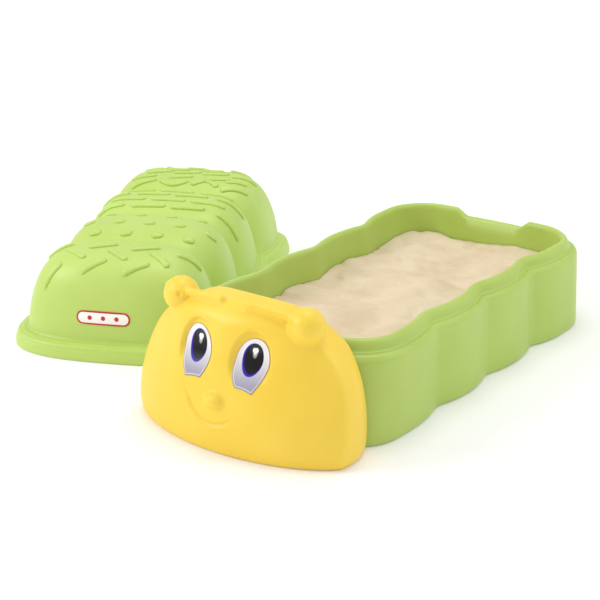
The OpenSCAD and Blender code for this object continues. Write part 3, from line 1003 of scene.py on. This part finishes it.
@dataclass
class Head:
    """Head with a face, moulded antennae, a nose, a smile line and eye sockets.

    Places are (across, along, up); those of paired features are given for the right side.
    face_curve bends the face back: a bow, a later bend and the round of its sides.
    """

    plan: ScallopedPlan = PLAN
    tub: Tub = field(default_factory=Tub)
    half_width: float = 266
    height: float = 302
    reach: float = 165
    wrap: float = 30
    gap: float = 0.8
    belly_z: float = 40
    power: float = 2.4
    back_share: float = 0.927
    lean: float = 50
    foot_tuck: float = 6
    chin_tuck: float = 3
    cheek: float = 6
    cheek_z: float = 80
    cheek_half: float = 70
    crown_back: float = 40
    crown_from: float = 0.74
    crown_ease: float = 28
    crown_round: float = 30
    face_curve: tuple[float, float, float] = (66, 16, 40)
    back_corner: float = 4
    eye_x: float = 68
    eye_z: float = 196
    eye_half: Point2 = (37.5, 52)
    brow_half: Point2 = (47, 69)
    eye_taper: float = 0.48
    eye_foot: float = 0.9
    eye_lean: float = 0.075
    film_gap: float = 0.5
    film_thickness: float = 0.5
    brow_depth: float = 11
    socket_depth: float = 5
    socket_half: Point2 = (50, 55)
    antenna_radius: float = 37.5
    antenna_at: tuple[float, float, float] = (159, -564, 277)
    stalk_radius: float = 9
    stalk_start: tuple[float, float, float] = (33, -590, 300.5)
    stalk_end: tuple[float, float, float] = (139, -576, 290)
    dimple_depth: float = 3.6
    dimple_half: float = 4.6
    dimple_rim: float = 0.9
    nose_z: float = 111
    nose_half: tuple[float, float, float] = (24.5, 19, 17.5)
    smile_z: float = 64
    smile_curve: float = 0.0086
    smile_ends: Point2 = (-88, 56)
    smile_depth: float = 3.6
    smile_half: float = 3.8
    lower_lip: float = 1.6
    voxel: float = 2.7
    soften_times: int = 14

    def width_at(self, z: float) -> float:
        """Half-width of the head at a height.

        Args:
            z: The height.

        Returns:
            Half of the width there.
        """
        if z < self.belly_z:
            return self.half_width - self.foot_tuck * (1 - z / self.belly_z) ** 3
        share = (z - self.belly_z) / (self.height - self.belly_z)
        return self.half_width * superellipse(share, self.power)

    def face_at(self, z: float) -> float:
        """Depth of the face in front of the tub's front wall, over the middle.

        Args:
            z: Height on the face.

        Returns:
            How far the face stands out.
        """
        u = (z - self.belly_z) / (self.height - self.belly_z)
        lean = self.chin_tuck * (1 - z / self.belly_z) ** 3 if u < 0 else self.lean * u**1.1
        cap = self.crown_back * (max(u - self.crown_from, 0) / (1 - self.crown_from)) ** 3.2
        cheek = self.cheek * math.exp(-(((z - self.cheek_z) / self.cheek_half) ** 2))
        return self.reach + cheek - lean - cap

    def sag(self, u: float) -> float:
        """How far the face has curved back at a share u of the half-width."""
        bow, late, side = self.face_curve
        return bow * u * u + late * u**4 + side * (1 - superellipse(u, 8))

    def socket(self, x: float, z: float) -> float:
        """Depth of the moulded eye sockets, deepest below the brow.

        Args:
            x: Place across the face.
            z: Height on the face.

        Returns:
            How far the skin is set back.
        """
        wide, tall = self.socket_half
        top = self.eye_z + tall
        rise = 2.1 * tall
        deep = smooth((z - top + rise) / rise * 0.8 + 0.2) * (1 - smooth((z - top + 4) / 30))
        return self.socket_depth * math.exp(-(((abs(x) - self.eye_x) / wide) ** 4)) * deep

    def back_y(self, x: float, z: float) -> float:
        """Back of the head, which wraps round the tub's front wall.

        Args:
            x: Place across the head.
            z: Height on the head.

        Returns:
            Its y, further forward where the crown rounds over.
        """
        wall = self.plan.front_wall(x, self.tub.square_at(z)) - self.gap
        over = max(z - self.height + self.crown_round, 0) / self.crown_round
        ease = self.crown_ease * over**2.5
        return min(wall, self.plan.front_y + self.wrap) - ease

    def ring(self, z: float, inset: float = 0.0) -> Ring:
        """One ring of the head's shell.

        Args:
            z: Height of the ring.
            inset: How far it is drawn in.

        Returns:
            The ring's points, in metres.
        """
        w = max(self.width_at(z) - inset, 4)
        scale = w / self.half_width
        front = self.plan.front_y - self.face_at(z) + inset
        side_y = front + self.sag(1) * scale
        back_w = w * self.back_share
        end_y = self.back_y(back_w, z) - inset
        corner = self.back_corner * scale
        half = []
        for t in steps(64):
            u = math.sin(t * math.pi / 2) ** 0.9
            x = w * u
            half.append((x, front + self.sag(u) * scale + self.socket(x, z) * (1 - u**4)))
        for t in steps(10)[1:]:
            half.append((mix(w, back_w, t * t), mix(side_y, end_y - corner, t)))
        for t in steps(40)[:-1]:
            x = (back_w - corner) * (1 - t)
            half.append((x, self.back_y(x, z) - inset))
        ring = half + [(0.0, self.back_y(0, z) - inset)] + [(-x, y) for x, y in reversed(half[1:])]
        return [Vector((x, y, z)) * MM for x, y in ring]

    def heights(self) -> list[Point2]:
        """Heights of the rings with their insets, closer at the foot and the crown.

        Returns:
            Pairs of height and inset, from the ground up.
        """
        foot = [(0.0, 4.5), (0.8, 2.4), (2.2, 1.0), (4.5, 0.2)]
        body = [(mix(8, self.belly_z, t), 0.0) for t in steps(5)]
        crown = []
        for t in steps(72)[1:]:
            angle = t * math.pi / 2
            z = self.belly_z + (self.height - self.belly_z) * math.sin(angle) ** (2 / self.power)
            crown.append((min(z, self.height - 0.05), 0.0))
        return foot + body + crown

    def shell(self) -> bmesh.types.BMesh:
        """Head, nose and antennae as overlapping closed shapes.

        Returns:
            One bmesh that holds them all.
        """
        rings = [self.ring(z, inset) for z, inset in self.heights()]
        bm = loft(rings, True, True)
        nose_y = self.plan.front_y - self.face_at(self.nose_z) + 3
        self.ball(bm, Vector((0, nose_y, self.nose_z)), self.nose_half)
        for side in Side:
            self.ball(bm, self.paired(self.antenna_at, side), (self.antenna_radius,) * 3)
            start, end = self.paired(self.stalk_start, side), self.paired(self.stalk_end, side)
            self.stalk(bm, start, end, self.stalk_radius)
        return bm

    @staticmethod
    def paired(place: Sequence[float], side: Side) -> Vector:
        """Place of a paired feature on one side of the face."""
        return Vector((side.value * place[0], place[1], place[2]))

    def dimple(self, side: Side) -> tuple[Vector, Vector]:
        """Place of the dimple on an antenna ball, and the way it is pressed."""
        out = self.paired((-0.5, -0.81, 0.3), side).normalized()
        return self.paired(self.antenna_at, side) + out * self.antenna_radius, -out

    @staticmethod
    def ball(bm: bmesh.types.BMesh, middle: Vector, half: Sequence[float]) -> None:
        """Add a closed ball or egg."""
        place = Matrix.Translation(middle * MM) @ Matrix.Diagonal((*[h * MM for h in half], 1))
        bmesh.ops.create_icosphere(bm, subdivisions=4, radius=1.0, matrix=place)

    @staticmethod
    def stalk(bm: bmesh.types.BMesh, start: Vector, end: Vector, radius: float) -> None:
        """Add a closed rod with round ends.

        Args:
            bm: The shape that gets it.
            start: Middle of one end.
            end: Middle of the other end.
            radius: Radius of the rod and of its ends.
        """
        along = end - start
        turn = along.to_track_quat("Z", "Y").to_matrix().to_4x4()
        rod(bm, radius, along.length, Matrix.Translation((start + end) / 2 * MM) @ turn, 32)
        for point in (start, end):
            bmesh.ops.create_icosphere(
                bm, subdivisions=3, radius=radius * MM, matrix=Matrix.Translation(point * MM)
            )

    def press_details(self, obj: bpy.types.Object) -> None:
        """Press the smile line, the brows and the dimples of the antenna balls into the skin.

        Args:
            obj: The head's object.
        """
        bm = bmesh.new()
        bm.from_mesh(obj.data)
        dimples = [self.dimple(side) for side in Side]
        limit = self.plan.front_y - 20
        for v in bm.verts:
            place = v.co / MM
            if place.y > limit:
                continue
            push = Vector((0, self.smile_at(place.x, place.z) + self.brow_at(place.x, place.z), 0))
            for middle, inward in dimples:
                near = (place - middle).length
                push += inward * self.dimple_depth * math.exp(-((near / self.dimple_half) ** 2))
                push -= inward * self.dimple_rim * math.exp(-(((near - 8) / 2.6) ** 2))
            v.co += push * MM
        bm.to_mesh(obj.data)
        bm.free()

    def brow_at(self, x: float, z: float) -> float:
        """Depth of the recess round an eye, with a steep brow that fades below the eye.

        Args:
            x: Place across the face.
            z: Height on the face.

        Returns:
            How far the skin is pressed back.
        """
        dx, dz = abs(x) - self.eye_x, z - self.eye_z
        reach = math.hypot(dx / self.brow_half[0], dz / self.brow_half[1])
        wall = 1 - smooth((reach - 0.79) / 0.22)
        return self.brow_depth * wall * smooth((dz + 46) / 52)

    def smile_at(self, x: float, z: float) -> float:
        """Depth of the smile line, a groove with a soft lower lip.

        Args:
            x: Place across the face.
            z: Height on the face.

        Returns:
            How far the skin is pressed back, less than 0 on the lip.
        """
        low, high = self.smile_ends
        if z > self.nose_z + 30 or not low < x < high:
            return 0.0
        line = self.smile_z + self.smile_curve * x * x
        slope = 2 * self.smile_curve * x
        away = (z - line) / math.hypot(1, slope)
        ends = smooth((x - low) / 22) * smooth((high - x) / 26)
        groove = self.smile_depth * math.exp(-((away / self.smile_half) ** 2))
        lip = -self.lower_lip * math.exp(-(((away + 9.5) / 5.5) ** 2))
        return (groove + lip) * ends

    def eye_edge(self, side: Side) -> Callable[[float], Point2]:
        """Outline of an eye decal: round above, tapering to a hollow cut below.

        Args:
            side: Side of the face.

        Returns:
            A function from a share of a turn to a place about the middle of the eye.
        """
        half_w, half_h = self.eye_half
        sign, foot = side.value, self.eye_foot

        def edge(turn: float) -> Point2:
            """Place on the outline.

            Args:
                turn: Share of a turn.

            Returns:
                Its x and z about the middle of the eye.
            """
            angle = turn * 2 * math.pi
            c, s = math.cos(angle), math.sin(angle)
            if s >= 0:
                x, z = half_w * c, half_h * 0.94 * s
            else:
                down = min(-s / foot, 1.0)
                wide = half_w * (1 - self.eye_taper * down**2.2)
                x = wide * math.copysign(min(abs(c) / math.sqrt(1 - min(-s, foot) ** 2), 1.0), c)
                z = -half_h * down
                if -s > foot:
                    x = wide * c / math.sqrt(1 - foot**2)
                    z += 2 * (1 - (x / wide) ** 2)
                z -= 3.2 * sign * x / wide * down**3
            return (x + sign * z * self.eye_lean, z)

        return edge

    def eye_film(self, side: Side) -> PrintedFilm:
        """Print of an eye: pale lilac white that greys towards the bottom, a dark pupil with a violet edge,
        a painted sheen over the pupil's top and a highlight.

        Args:
            side: Side of the face.

        Returns:
            The printed film.
        """
        lean = -3.5 * side.value
        spots = (
            Spot((0.4, 7.2), (22.8, 32.0), "#3419B4", lean, 0.035),
            Spot((2.3, 9.3), (20.6, 29.4), "#0C090B", lean, 0.03),
            # Painted sheen: a soft grey patch over the top of the black pupil.
            Spot((3.5, 28), (11, 8.5), "#4C4A50", lean, 0.75, 0.7),
            Spot((3.6, 20.5), (4.8, 9.5), "#A9A7AE", 0, 0.3),
            Spot((1.2, 25.6), (3.7, 4.8), "#FFFFFF", 0, 0.14),
            Spot((6.0, 25.9), (3.8, 5.0), "#FFFFFF", 0, 0.14),
            Spot((3.6, 22.5), (3.6, 5.2), "#F4F3F6", 0, 0.5),
        )
        return PrintedFilm(
            f"Printed_vinyl_eye_film_{side.name.lower()}", "#A39FB2", "#EFEDF3", self.eye_half[1], spots
        )

    def build(self) -> list[bpy.types.Object]:
        """Build the head and its two eye decals.

        Returns:
            The head, then the decals.
        """
        head = finish_object("head_shell", self.shell())
        skin = head.modifiers.new("Skin", "REMESH")
        skin.mode = "VOXEL"
        skin.voxel_size = self.voxel * MM
        settle(head)
        soft = head.modifiers.new("Soften", "SMOOTH")
        soft.factor = 0.5
        soft.iterations = self.soften_times
        settle(head)
        self.press_details(head)
        for face in head.data.polygons:
            face.use_smooth = True
        dress(head, YELLOW.make())
        bm = bmesh.new()
        bm.from_mesh(head.data)
        tree = tree_of(bm)
        bm.free()
        made = [head]
        for side in Side:
            name = f"{side.name.lower()}_eye_film"
            at = (side.value * self.eye_x, self.eye_z)
            film = lay_film(name, self.eye_edge(side), at, tree, self.film_gap, self.film_thickness)
            eye = finish_object(name, film)
            dress(eye, self.eye_film(side).make())
            hand_over(eye, "tub", "decal_film", f"{side.name.lower()}_eye_decal")
            made.append(eye)
        hand_over(head, "tub", "head_plastic", "head")
        return made


# ---- Cover ----
class MarkShape(Enum):
    """Shape of a raised mark on the cover."""

    BAR = "bar"
    DOT = "dot"
    ARC = "arc"
    CHEVRON = "chevron"


@dataclass(frozen=True)
class MarkRow:
    """A row of raised marks across the cover.

    Attributes are the place along the cover, the first mark's place across it, the pitch, the
    count, the lean in degrees, the length and the shape.
    """

    along: float
    first: float
    pitch: float
    count: int
    lean: float
    length: float
    shape: MarkShape = MarkShape.BAR


@dataclass
class Cover:
    """Formed cover: a skirt, a flange and four humps with raised marks."""

    plan: ScallopedPlan = PLAN
    height: float = 222
    skirt: float = 38
    inset: float = 20
    flange: float = 30
    skin: float = 4
    hump_drop: float = 26
    hump_pinch: float = 9
    place: tuple[float, float] = (-692, -14)
    yaw: float = 24.5
    ridge_run: float = 170
    ridge_end: float = 150
    square: float = 2.7
    label_x: float = -8
    label_size: Point2 = (128, 32)
    label_rise: float = 58
    label_gap: float = 0.5
    label_thickness: float = 0.6
    dot_pitch: float = 32
    dot_radius: float = 5.4
    mark_height: float = 5.6
    mark_half: float = 8.0
    mark_root: float = 0.5
    dot_extra: float = 3
    arc_bend: float = 14
    chevron_bend: float = 22
    shares: Sequence[Point2] = (
        (0.0, 0.0), (0.006, 0.06), (0.042, 0.34), (0.09, 0.54), (0.14, 0.68), (0.195, 0.785),
        (0.265, 0.872), (0.35, 0.935), (0.46, 0.972), (0.70, 0.993), (0.96, 1.0), (1.0, 1.0),
    )
    rows: Sequence[MarkRow] = (
        MarkRow(-398, -142, 100, 4, 27, 50),
        MarkRow(-355, -98, 100, 3, -41, 60),
        MarkRow(-308, -150, 103, 4, 26, 54),
        MarkRow(-183, -108, 78, 4, 10, 12, MarkShape.DOT),
        MarkRow(-120, -144, 77, 5, 10, 12, MarkShape.DOT),
        MarkRow(-50, -110, 78, 4, 10, 12, MarkShape.DOT),
        MarkRow(36, -140, 102, 4, 3, 74),
        MarkRow(76, -103, 105, 3, 1, 78),
        MarkRow(122, -150, 101, 4, 3, 74),
        MarkRow(166, -103, 105, 3, 1, 78),
        MarkRow(240, -114, 250, 2, 24, 62),
        MarkRow(240, -30, 87, 1, 0, 66, MarkShape.ARC),
        MarkRow(250, 56, 87, 1, 0, 62, MarkShape.CHEVRON),
        MarkRow(284, -122, 101, 3, 18, 52),
        MarkRow(280, 132, 101, 1, 24, 46),
        MarkRow(330, -92, 78, 4, 14, 58),
        MarkRow(366, -54, 96, 2, -18, 60, MarkShape.ARC),
        MarkRow(392, -120, 120, 3, 22, 52),
    )

    @property
    def body_in(self) -> float:
        """Inset of the humped body's foot."""
        return self.inset + self.flange

    def ridge(self, x: float, y: float, t: float) -> Point2:
        """Move a place towards the ridge line.

        Args:
            x: Place across the cover.
            y: Place along it.
            t: Share of the way.

        Returns:
            The new place.
        """
        low = self.plan.front_y + self.body_in + self.ridge_run
        high = self.plan.corner_y + self.plan.rear_radius - self.body_in - self.ridge_end
        return mix(x, 0, t), mix(y, clamp(y, low, high), t)

    def body_ring(self, t: float, h: float, inset: float) -> Ring:
        """One ring of the humped body.

        Args:
            t: Share of the way in to the ridge.
            h: Share of the hump's height.
            inset: How far the ring lies inside the outer skin.

        Returns:
            The ring's points, in metres.
        """
        ring = []
        for x, y in self.plan.outline(self.body_in + inset, self.body_in + inset, self.square):
            v = self.plan.crease(y)
            pinch = self.hump_pinch * v * smooth(h * 4) * math.copysign(1, x) * (abs(x) > 1)
            px, py = self.ridge(x - pinch, y, t)
            top = self.height - self.skirt - self.hump_drop * v
            ring.append(Vector((px, py, self.skirt + top * h - inset)) * MM)
        return ring

    def flat_ring(self, inset: float, z: float) -> Ring:
        """One ring of the skirt or the flange."""
        return [Vector((x, y, z)) * MM for x, y in self.plan.outline(inset, inset, self.square)]

    def curve(self, parts: int) -> list[Point2]:
        """The body's profile, as a smooth curve through its named shares.

        Args:
            parts: Steps between two of them.

        Returns:
            Pairs of share of the way in and share of the height.
        """
        pts = list(self.shares)
        made = []
        for i in range(len(pts) - 1):
            a, b = pts[max(i - 1, 0)], pts[i]
            c, d = pts[i + 1], pts[min(i + 2, len(pts) - 1)]
            for k in range(parts):
                t = k / parts
                made.append(tuple(self.between(a[j], b[j], c[j], d[j], t) for j in (0, 1)))
        return made + [pts[-1]]

    @staticmethod
    def between(a: float, b: float, c: float, d: float, t: float) -> float:
        """Point on a curve from b to c that also heeds its neighbours a and d."""
        curve = 2 * b + (c - a) * t + (2 * a - 5 * b + 4 * c - d) * t * t
        return 0.5 * (curve + (3 * b - a - 3 * c + d) * t**3)

    def shell(self) -> bmesh.types.BMesh:
        """The cover's skin, in its own frame.

        Returns:
            The skin, from the ridge's underside round the skirt to the ridge's top.
        """
        i, s = self.inset, self.skirt
        inner = [self.body_ring(t, h, self.skin) for t, h in reversed(self.curve(2))]
        under = ((i + 12, s - 4), (i + 8, s - 5), (i + 5, s - 10), (i + 5, 0.6))
        inner += [self.flat_ring(a, z) for a, z in under]
        edge = ((i + 4, 0), (i + 2, 0.3), (i + 1, 1.6), (i + 0.4, 4))
        outer = [self.flat_ring(a, z) for a, z in edge]
        turn = (
            (0.3, -29), (0.9, -23.5), (2.3, -18), (4.6, -13), (7.8, -8.8), (11.6, -5.4), (15.8, -2.9),
            (20, -1.3), (23.6, -0.7), (25.2, -1.1), (26.4, -1.3), (27.4, -0.9), (28.2, 0.2), (29, 1.6),
        )
        outer += [self.flat_ring(i + a, s + z) for a, z in turn]
        outer += [self.body_ring(t, max(h, 0.016), 0.0) for t, h in self.curve(4)]
        return loft(inner + outer, False, False)

    @staticmethod
    def surface_length(tree: BVHTree, line: list[Point2]) -> float:
        """Length of a line once it lies on the cover's surface.

        Args:
            tree: Search tree of the surface.
            line: Places across and along the cover.

        Returns:
            The length.
        """
        down = Vector((0, 0, -1))
        hits = [tree.ray_cast(Vector((x, y, 1000)) * MM, down)[0] for x, y in line]
        on = [h for h in hits if h is not None]
        return sum((b - a).length for a, b in zip(on, on[1:])) / MM

    def path(self, row: MarkRow, at: float, share: float) -> list[Point2]:
        """Trace the middle line of one mark.

        Args:
            row: The row it belongs to.
            at: Its place across the cover.
            share: Share of the row's length, less than 1 where the surface falls away.

        Returns:
            Places across and along the cover.
        """
        lean, half = math.radians(row.lean), row.length / 2 * share
        if row.shape is MarkShape.DOT:
            half = row.length / 3
        line = []
        for t in steps(16):
            s = mix(-half, half, t)
            bend = 0.0
            if row.shape is MarkShape.ARC:
                bend = self.arc_bend * (s / half) ** 2 - self.arc_bend / 2
            elif row.shape is MarkShape.CHEVRON:
                bend = self.chevron_bend / 2 - self.chevron_bend * abs(s / half) ** 1.2
            line.append((
                at + s * math.cos(lean) - bend * math.sin(lean),
                row.along + s * math.sin(lean) + bend * math.cos(lean),
            ))
        return line

    def raise_mark(self, bm: bmesh.types.BMesh, tree: BVHTree, line: list[Point2], half: float) -> None:
        """Add one rounded mark to the cover's skin.

        Args:
            bm: The shape that gets the mark.
            tree: Search tree of the cover's own surface.
            line: The mark's middle line.
            half: The mark's half-width.
        """
        long_steps, wide_steps = 26, 10
        made = bmesh.ops.create_grid(bm, x_segments=long_steps, y_segments=wide_steps, size=1.0)["verts"]
        length = sum(math.dist(a, b) for a, b in zip(line, line[1:]))
        total = length + 2 * half
        for v in made:
            run = (v.co.x + 1) / 2 * total - half
            share = clamp(run / length)
            k = min(int(share * (len(line) - 1)), len(line) - 2)
            part = share * (len(line) - 1) - k
            a, b = line[k], line[k + 1]
            tx, ty = (b[0] - a[0]) / math.dist(a, b), (b[1] - a[1]) / math.dist(a, b)
            past = run if run < 0 else max(run - length, 0)
            wide = half * math.sqrt(max(1 - (past / half) ** 2, 0.0)) * v.co.y
            reach = math.hypot(past, wide) / half
            x = mix(a[0], b[0], part) + tx * past - ty * wide
            y = mix(a[1], b[1], part) + ty * past + tx * wide
            dome = (1 - reach**3.2) ** 0.7 if reach < 1 else 0.0
            rise = (self.mark_height + self.mark_root) * dome - self.mark_root
            hit, normal, _, _ = tree.ray_cast(Vector((x * MM, y * MM, 1.0)), Vector((0, 0, -1)))
            if hit is None:
                hit, normal, _, _ = tree.find_nearest(Vector((x * MM, y * MM, 0.15)))
            normal = normal if normal.z > 0 else -normal
            v.co = hit + normal * rise * MM
        bmesh.ops.remove_doubles(bm, verts=made, dist=0.00002)
        faces = list({f for v in made if v.is_valid for f in v.link_faces})
        bmesh.ops.recalc_face_normals(bm, faces=faces)
        if sum(f.normal.z * f.calc_area() for f in faces) < 0:
            bmesh.ops.reverse_faces(bm, faces=faces)
        bmesh.ops.solidify(bm, geom=faces, thickness=1.5 * MM)

    def badge_edge(self, turn: float) -> Point2:
        """Outline of the label, a bar with round ends.

        Args:
            turn: Share of a turn.

        Returns:
            Place on the edge about the label's middle.
        """
        wide, tall = self.label_size
        angle = turn * 2 * math.pi
        c, s = math.cos(angle), math.sin(angle)
        straight = (wide - tall) / 2
        slide = straight * math.tanh(c * 6) / math.tanh(6)
        return (tall / 2 * c + slide, tall / 2 * s)

    def badge_reach(self, x: float, z: float) -> float:
        """Share of the way from the label's middle line to its edge."""
        wide, tall = self.label_size
        return math.hypot(max(abs(x) - (wide - tall) / 2, 0), z) / (tall / 2)

    def build(self) -> list[bpy.types.Object]:
        """Build the cover and its label.

        Returns:
            The cover, then the label.
        """
        bm = self.shell()
        tree = tree_of(bm)
        for row in self.rows:
            half = self.mark_half + (self.dot_extra if row.shape is MarkShape.DOT else 0)
            for i in range(row.count):
                at = row.first + i * row.pitch
                line = self.path(row, at, 1.0)
                flat = sum(math.dist(a, b) for a, b in zip(line, line[1:]))
                stretch = self.surface_length(tree, line) / flat
                self.raise_mark(bm, tree, self.path(row, at, 1 / max(stretch, 1.0)), half)
        film = lay_film(
            "label", self.badge_edge, (self.label_x, self.skirt + self.label_rise), tree,
            self.label_gap, self.label_thickness, 30, 160, self.badge_reach,
        )
        turn = Matrix.Rotation(math.radians(self.yaw), 4, "Z")
        lie = Matrix.Translation(Vector((*self.place, 0)) * MM) @ turn
        cover = finish_object("cover_shell", bm, lie)
        dress(cover, COVER_GREEN.make())
        hand_over(cover, "cover", "cover_plastic", "cover")
        label = finish_object("cover_badge", film, lie)
        dots = tuple(
            Spot((i * self.dot_pitch, 0), (self.dot_radius,) * 2, "#C9313C", 0, 0.1) for i in (-1, 0, 1)
        )
        print_film = PrintedFilm(
            "Printed_vinyl_badge_film", "#F1EEEE", "#FBF9F9", self.label_size[1] / 2, dots,
            rim_strength=0.0, edge="#C22C38", edge_from=0.72, edge_soft=0.06,
        )
        dress(label, print_film.make())
        hand_over(label, "cover", "label_film", "cover_label")
        return [cover, label]


# ---- Fasteners ----
@dataclass
class Fasteners:
    """Screws, washers, inserts and plugs, which keep the shapes that they were packed with."""

    nodes: dict[str, bpy.types.Object]

    def build(self) -> None:
        """Give each fastener its finish."""
        finishes = {
            "head_screws": STEEL.make(), "head_washers": STEEL.make(),
            "head_inserts": BRASS.make(), "vent_plugs": PLUG_GREEN.make(),
        }
        for name, material in finishes.items():
            dress(self.nodes[name], material)
            LOG.info("%s dressed", name)


# ---- Studio ----
@dataclass(frozen=True)
class SoftBox:
    """Square area light: its place, width, power in watts and colour."""

    name: str
    at: tuple[float, float, float]
    width: float
    watts: float
    colour: str


@dataclass
class Studio:
    """Pale floor, soft boxes and the camera, in metres and degrees; its lens is in millimetres."""

    azimuth: float = 35.788
    elevation: float = 20.613
    camera_at: tuple[float, float, float] = (1.8458, -2.9280, 1.4239)
    lens: float = 96.0
    sensor: float = 36.0
    floor_half: float = 14.0
    floor_below: float = 0.0006
    glow_from: float = 0.6
    glow_to: float = 2.2
    sky: float = 0.66
    aim: tuple[float, float, float] = (-0.3, -0.1, 0.1)
    boxes: Sequence[SoftBox] = (
        SoftBox("key_left", (-2.8, -2.8, 2.6), 1.4, 68, "#FFFDF8"),
        SoftBox("top", (-0.2, 0.5, 3.6), 2.0, 42, "#FFFFFF"),
        SoftBox("fill_right", (3.0, 1.4, 2.6), 1.6, 25, "#FDFEFF"),
    )

    def lay_floor(self) -> None:
        """Lay a paper floor that glows a little, more so away from the part."""
        bm = bmesh.new()
        bmesh.ops.create_grid(bm, x_segments=1, y_segments=1, size=self.floor_half)
        bmesh.ops.translate(bm, vec=(0, 0, -self.floor_below), verts=bm.verts)
        floor = finish_object("floor", bm)
        material, tree, shader = start_material("Matt_white_paper_sweep")
        shader.inputs["Base Color"].default_value = linear("#F4F4F4")
        shader.inputs["Roughness"].default_value = 0.9
        shader.inputs["Specular IOR Level"].default_value = 0.1
        place = add(tree, "ShaderNodeTexCoord").outputs["Object"]
        far = add(tree, "ShaderNodeVectorMath", {0: place}, operation="LENGTH").outputs["Value"]
        glow = add(
            tree, "ShaderNodeMapRange",
            {"Value": far, "From Min": self.glow_from, "From Max": self.glow_to,
             "To Min": 0.08, "To Max": 0.42},
        ).outputs[0]
        tree.links.new(glow, shader.inputs["Emission Strength"])
        shader.inputs["Emission Color"].default_value = linear("#FFFFFF")
        dress(floor, material)

    def hang(self, box: SoftBox) -> None:
        """Hang a soft box that points at the part.

        Args:
            box: The soft box.
        """
        light = bpy.data.lights.new(box.name, "AREA")
        light.size = box.width
        light.energy = box.watts
        light.color = linear(box.colour)[:3]
        holder = bpy.data.objects.new(box.name, light)
        bpy.context.scene.collection.objects.link(holder)
        holder.location = box.at
        ahead = Vector(self.aim) - Vector(box.at)
        holder.rotation_euler = ahead.to_track_quat("-Z", "Y").to_euler()

    def light(self) -> None:
        """Set the surroundings, the soft boxes and the plain view transform."""
        scene = bpy.context.scene
        world = bpy.data.worlds.new("Studio_white")
        world.use_nodes = True
        back = world.node_tree.nodes["Background"]
        back.inputs[0].default_value = (1, 1, 1, 1)
        back.inputs[1].default_value = self.sky
        scene.world = world
        for box in self.boxes:
            self.hang(box)
        scene.view_settings.view_transform = "Standard"
        scene.view_settings.look = "None"

    def stand_camera(self) -> None:
        """Stand the camera in its place and make it the scene's own."""
        camera = bpy.data.cameras.new("camera")
        camera.lens = self.lens
        camera.sensor_width = self.sensor
        camera.clip_end = 100
        holder = bpy.data.objects.new("camera", camera)
        bpy.context.scene.collection.objects.link(holder)
        a, e = math.radians(self.azimuth), math.radians(self.elevation)
        ahead = Vector((-math.sin(a) * math.cos(e), math.cos(a) * math.cos(e), -math.sin(e)))
        holder.location = self.camera_at
        holder.rotation_mode = "QUATERNION"
        holder.rotation_quaternion = ahead.to_track_quat("-Z", "Y")
        bpy.context.scene.camera = holder

    def build(self) -> None:
        """Set up the floor, the lights and the camera."""
        self.lay_floor()
        self.light()
        self.stand_camera()


def main() -> None:
    """Build every sub-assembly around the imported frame."""
    logging.basicConfig(level=logging.INFO, format="%(name)s %(message)s")
    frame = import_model()
    Studio().build()
    Tub().build()
    Sand().build()
    Head().build()
    Cover().build()
    Fasteners(frame["nodes"]).build()


if __name__ == "__main__":
    main()
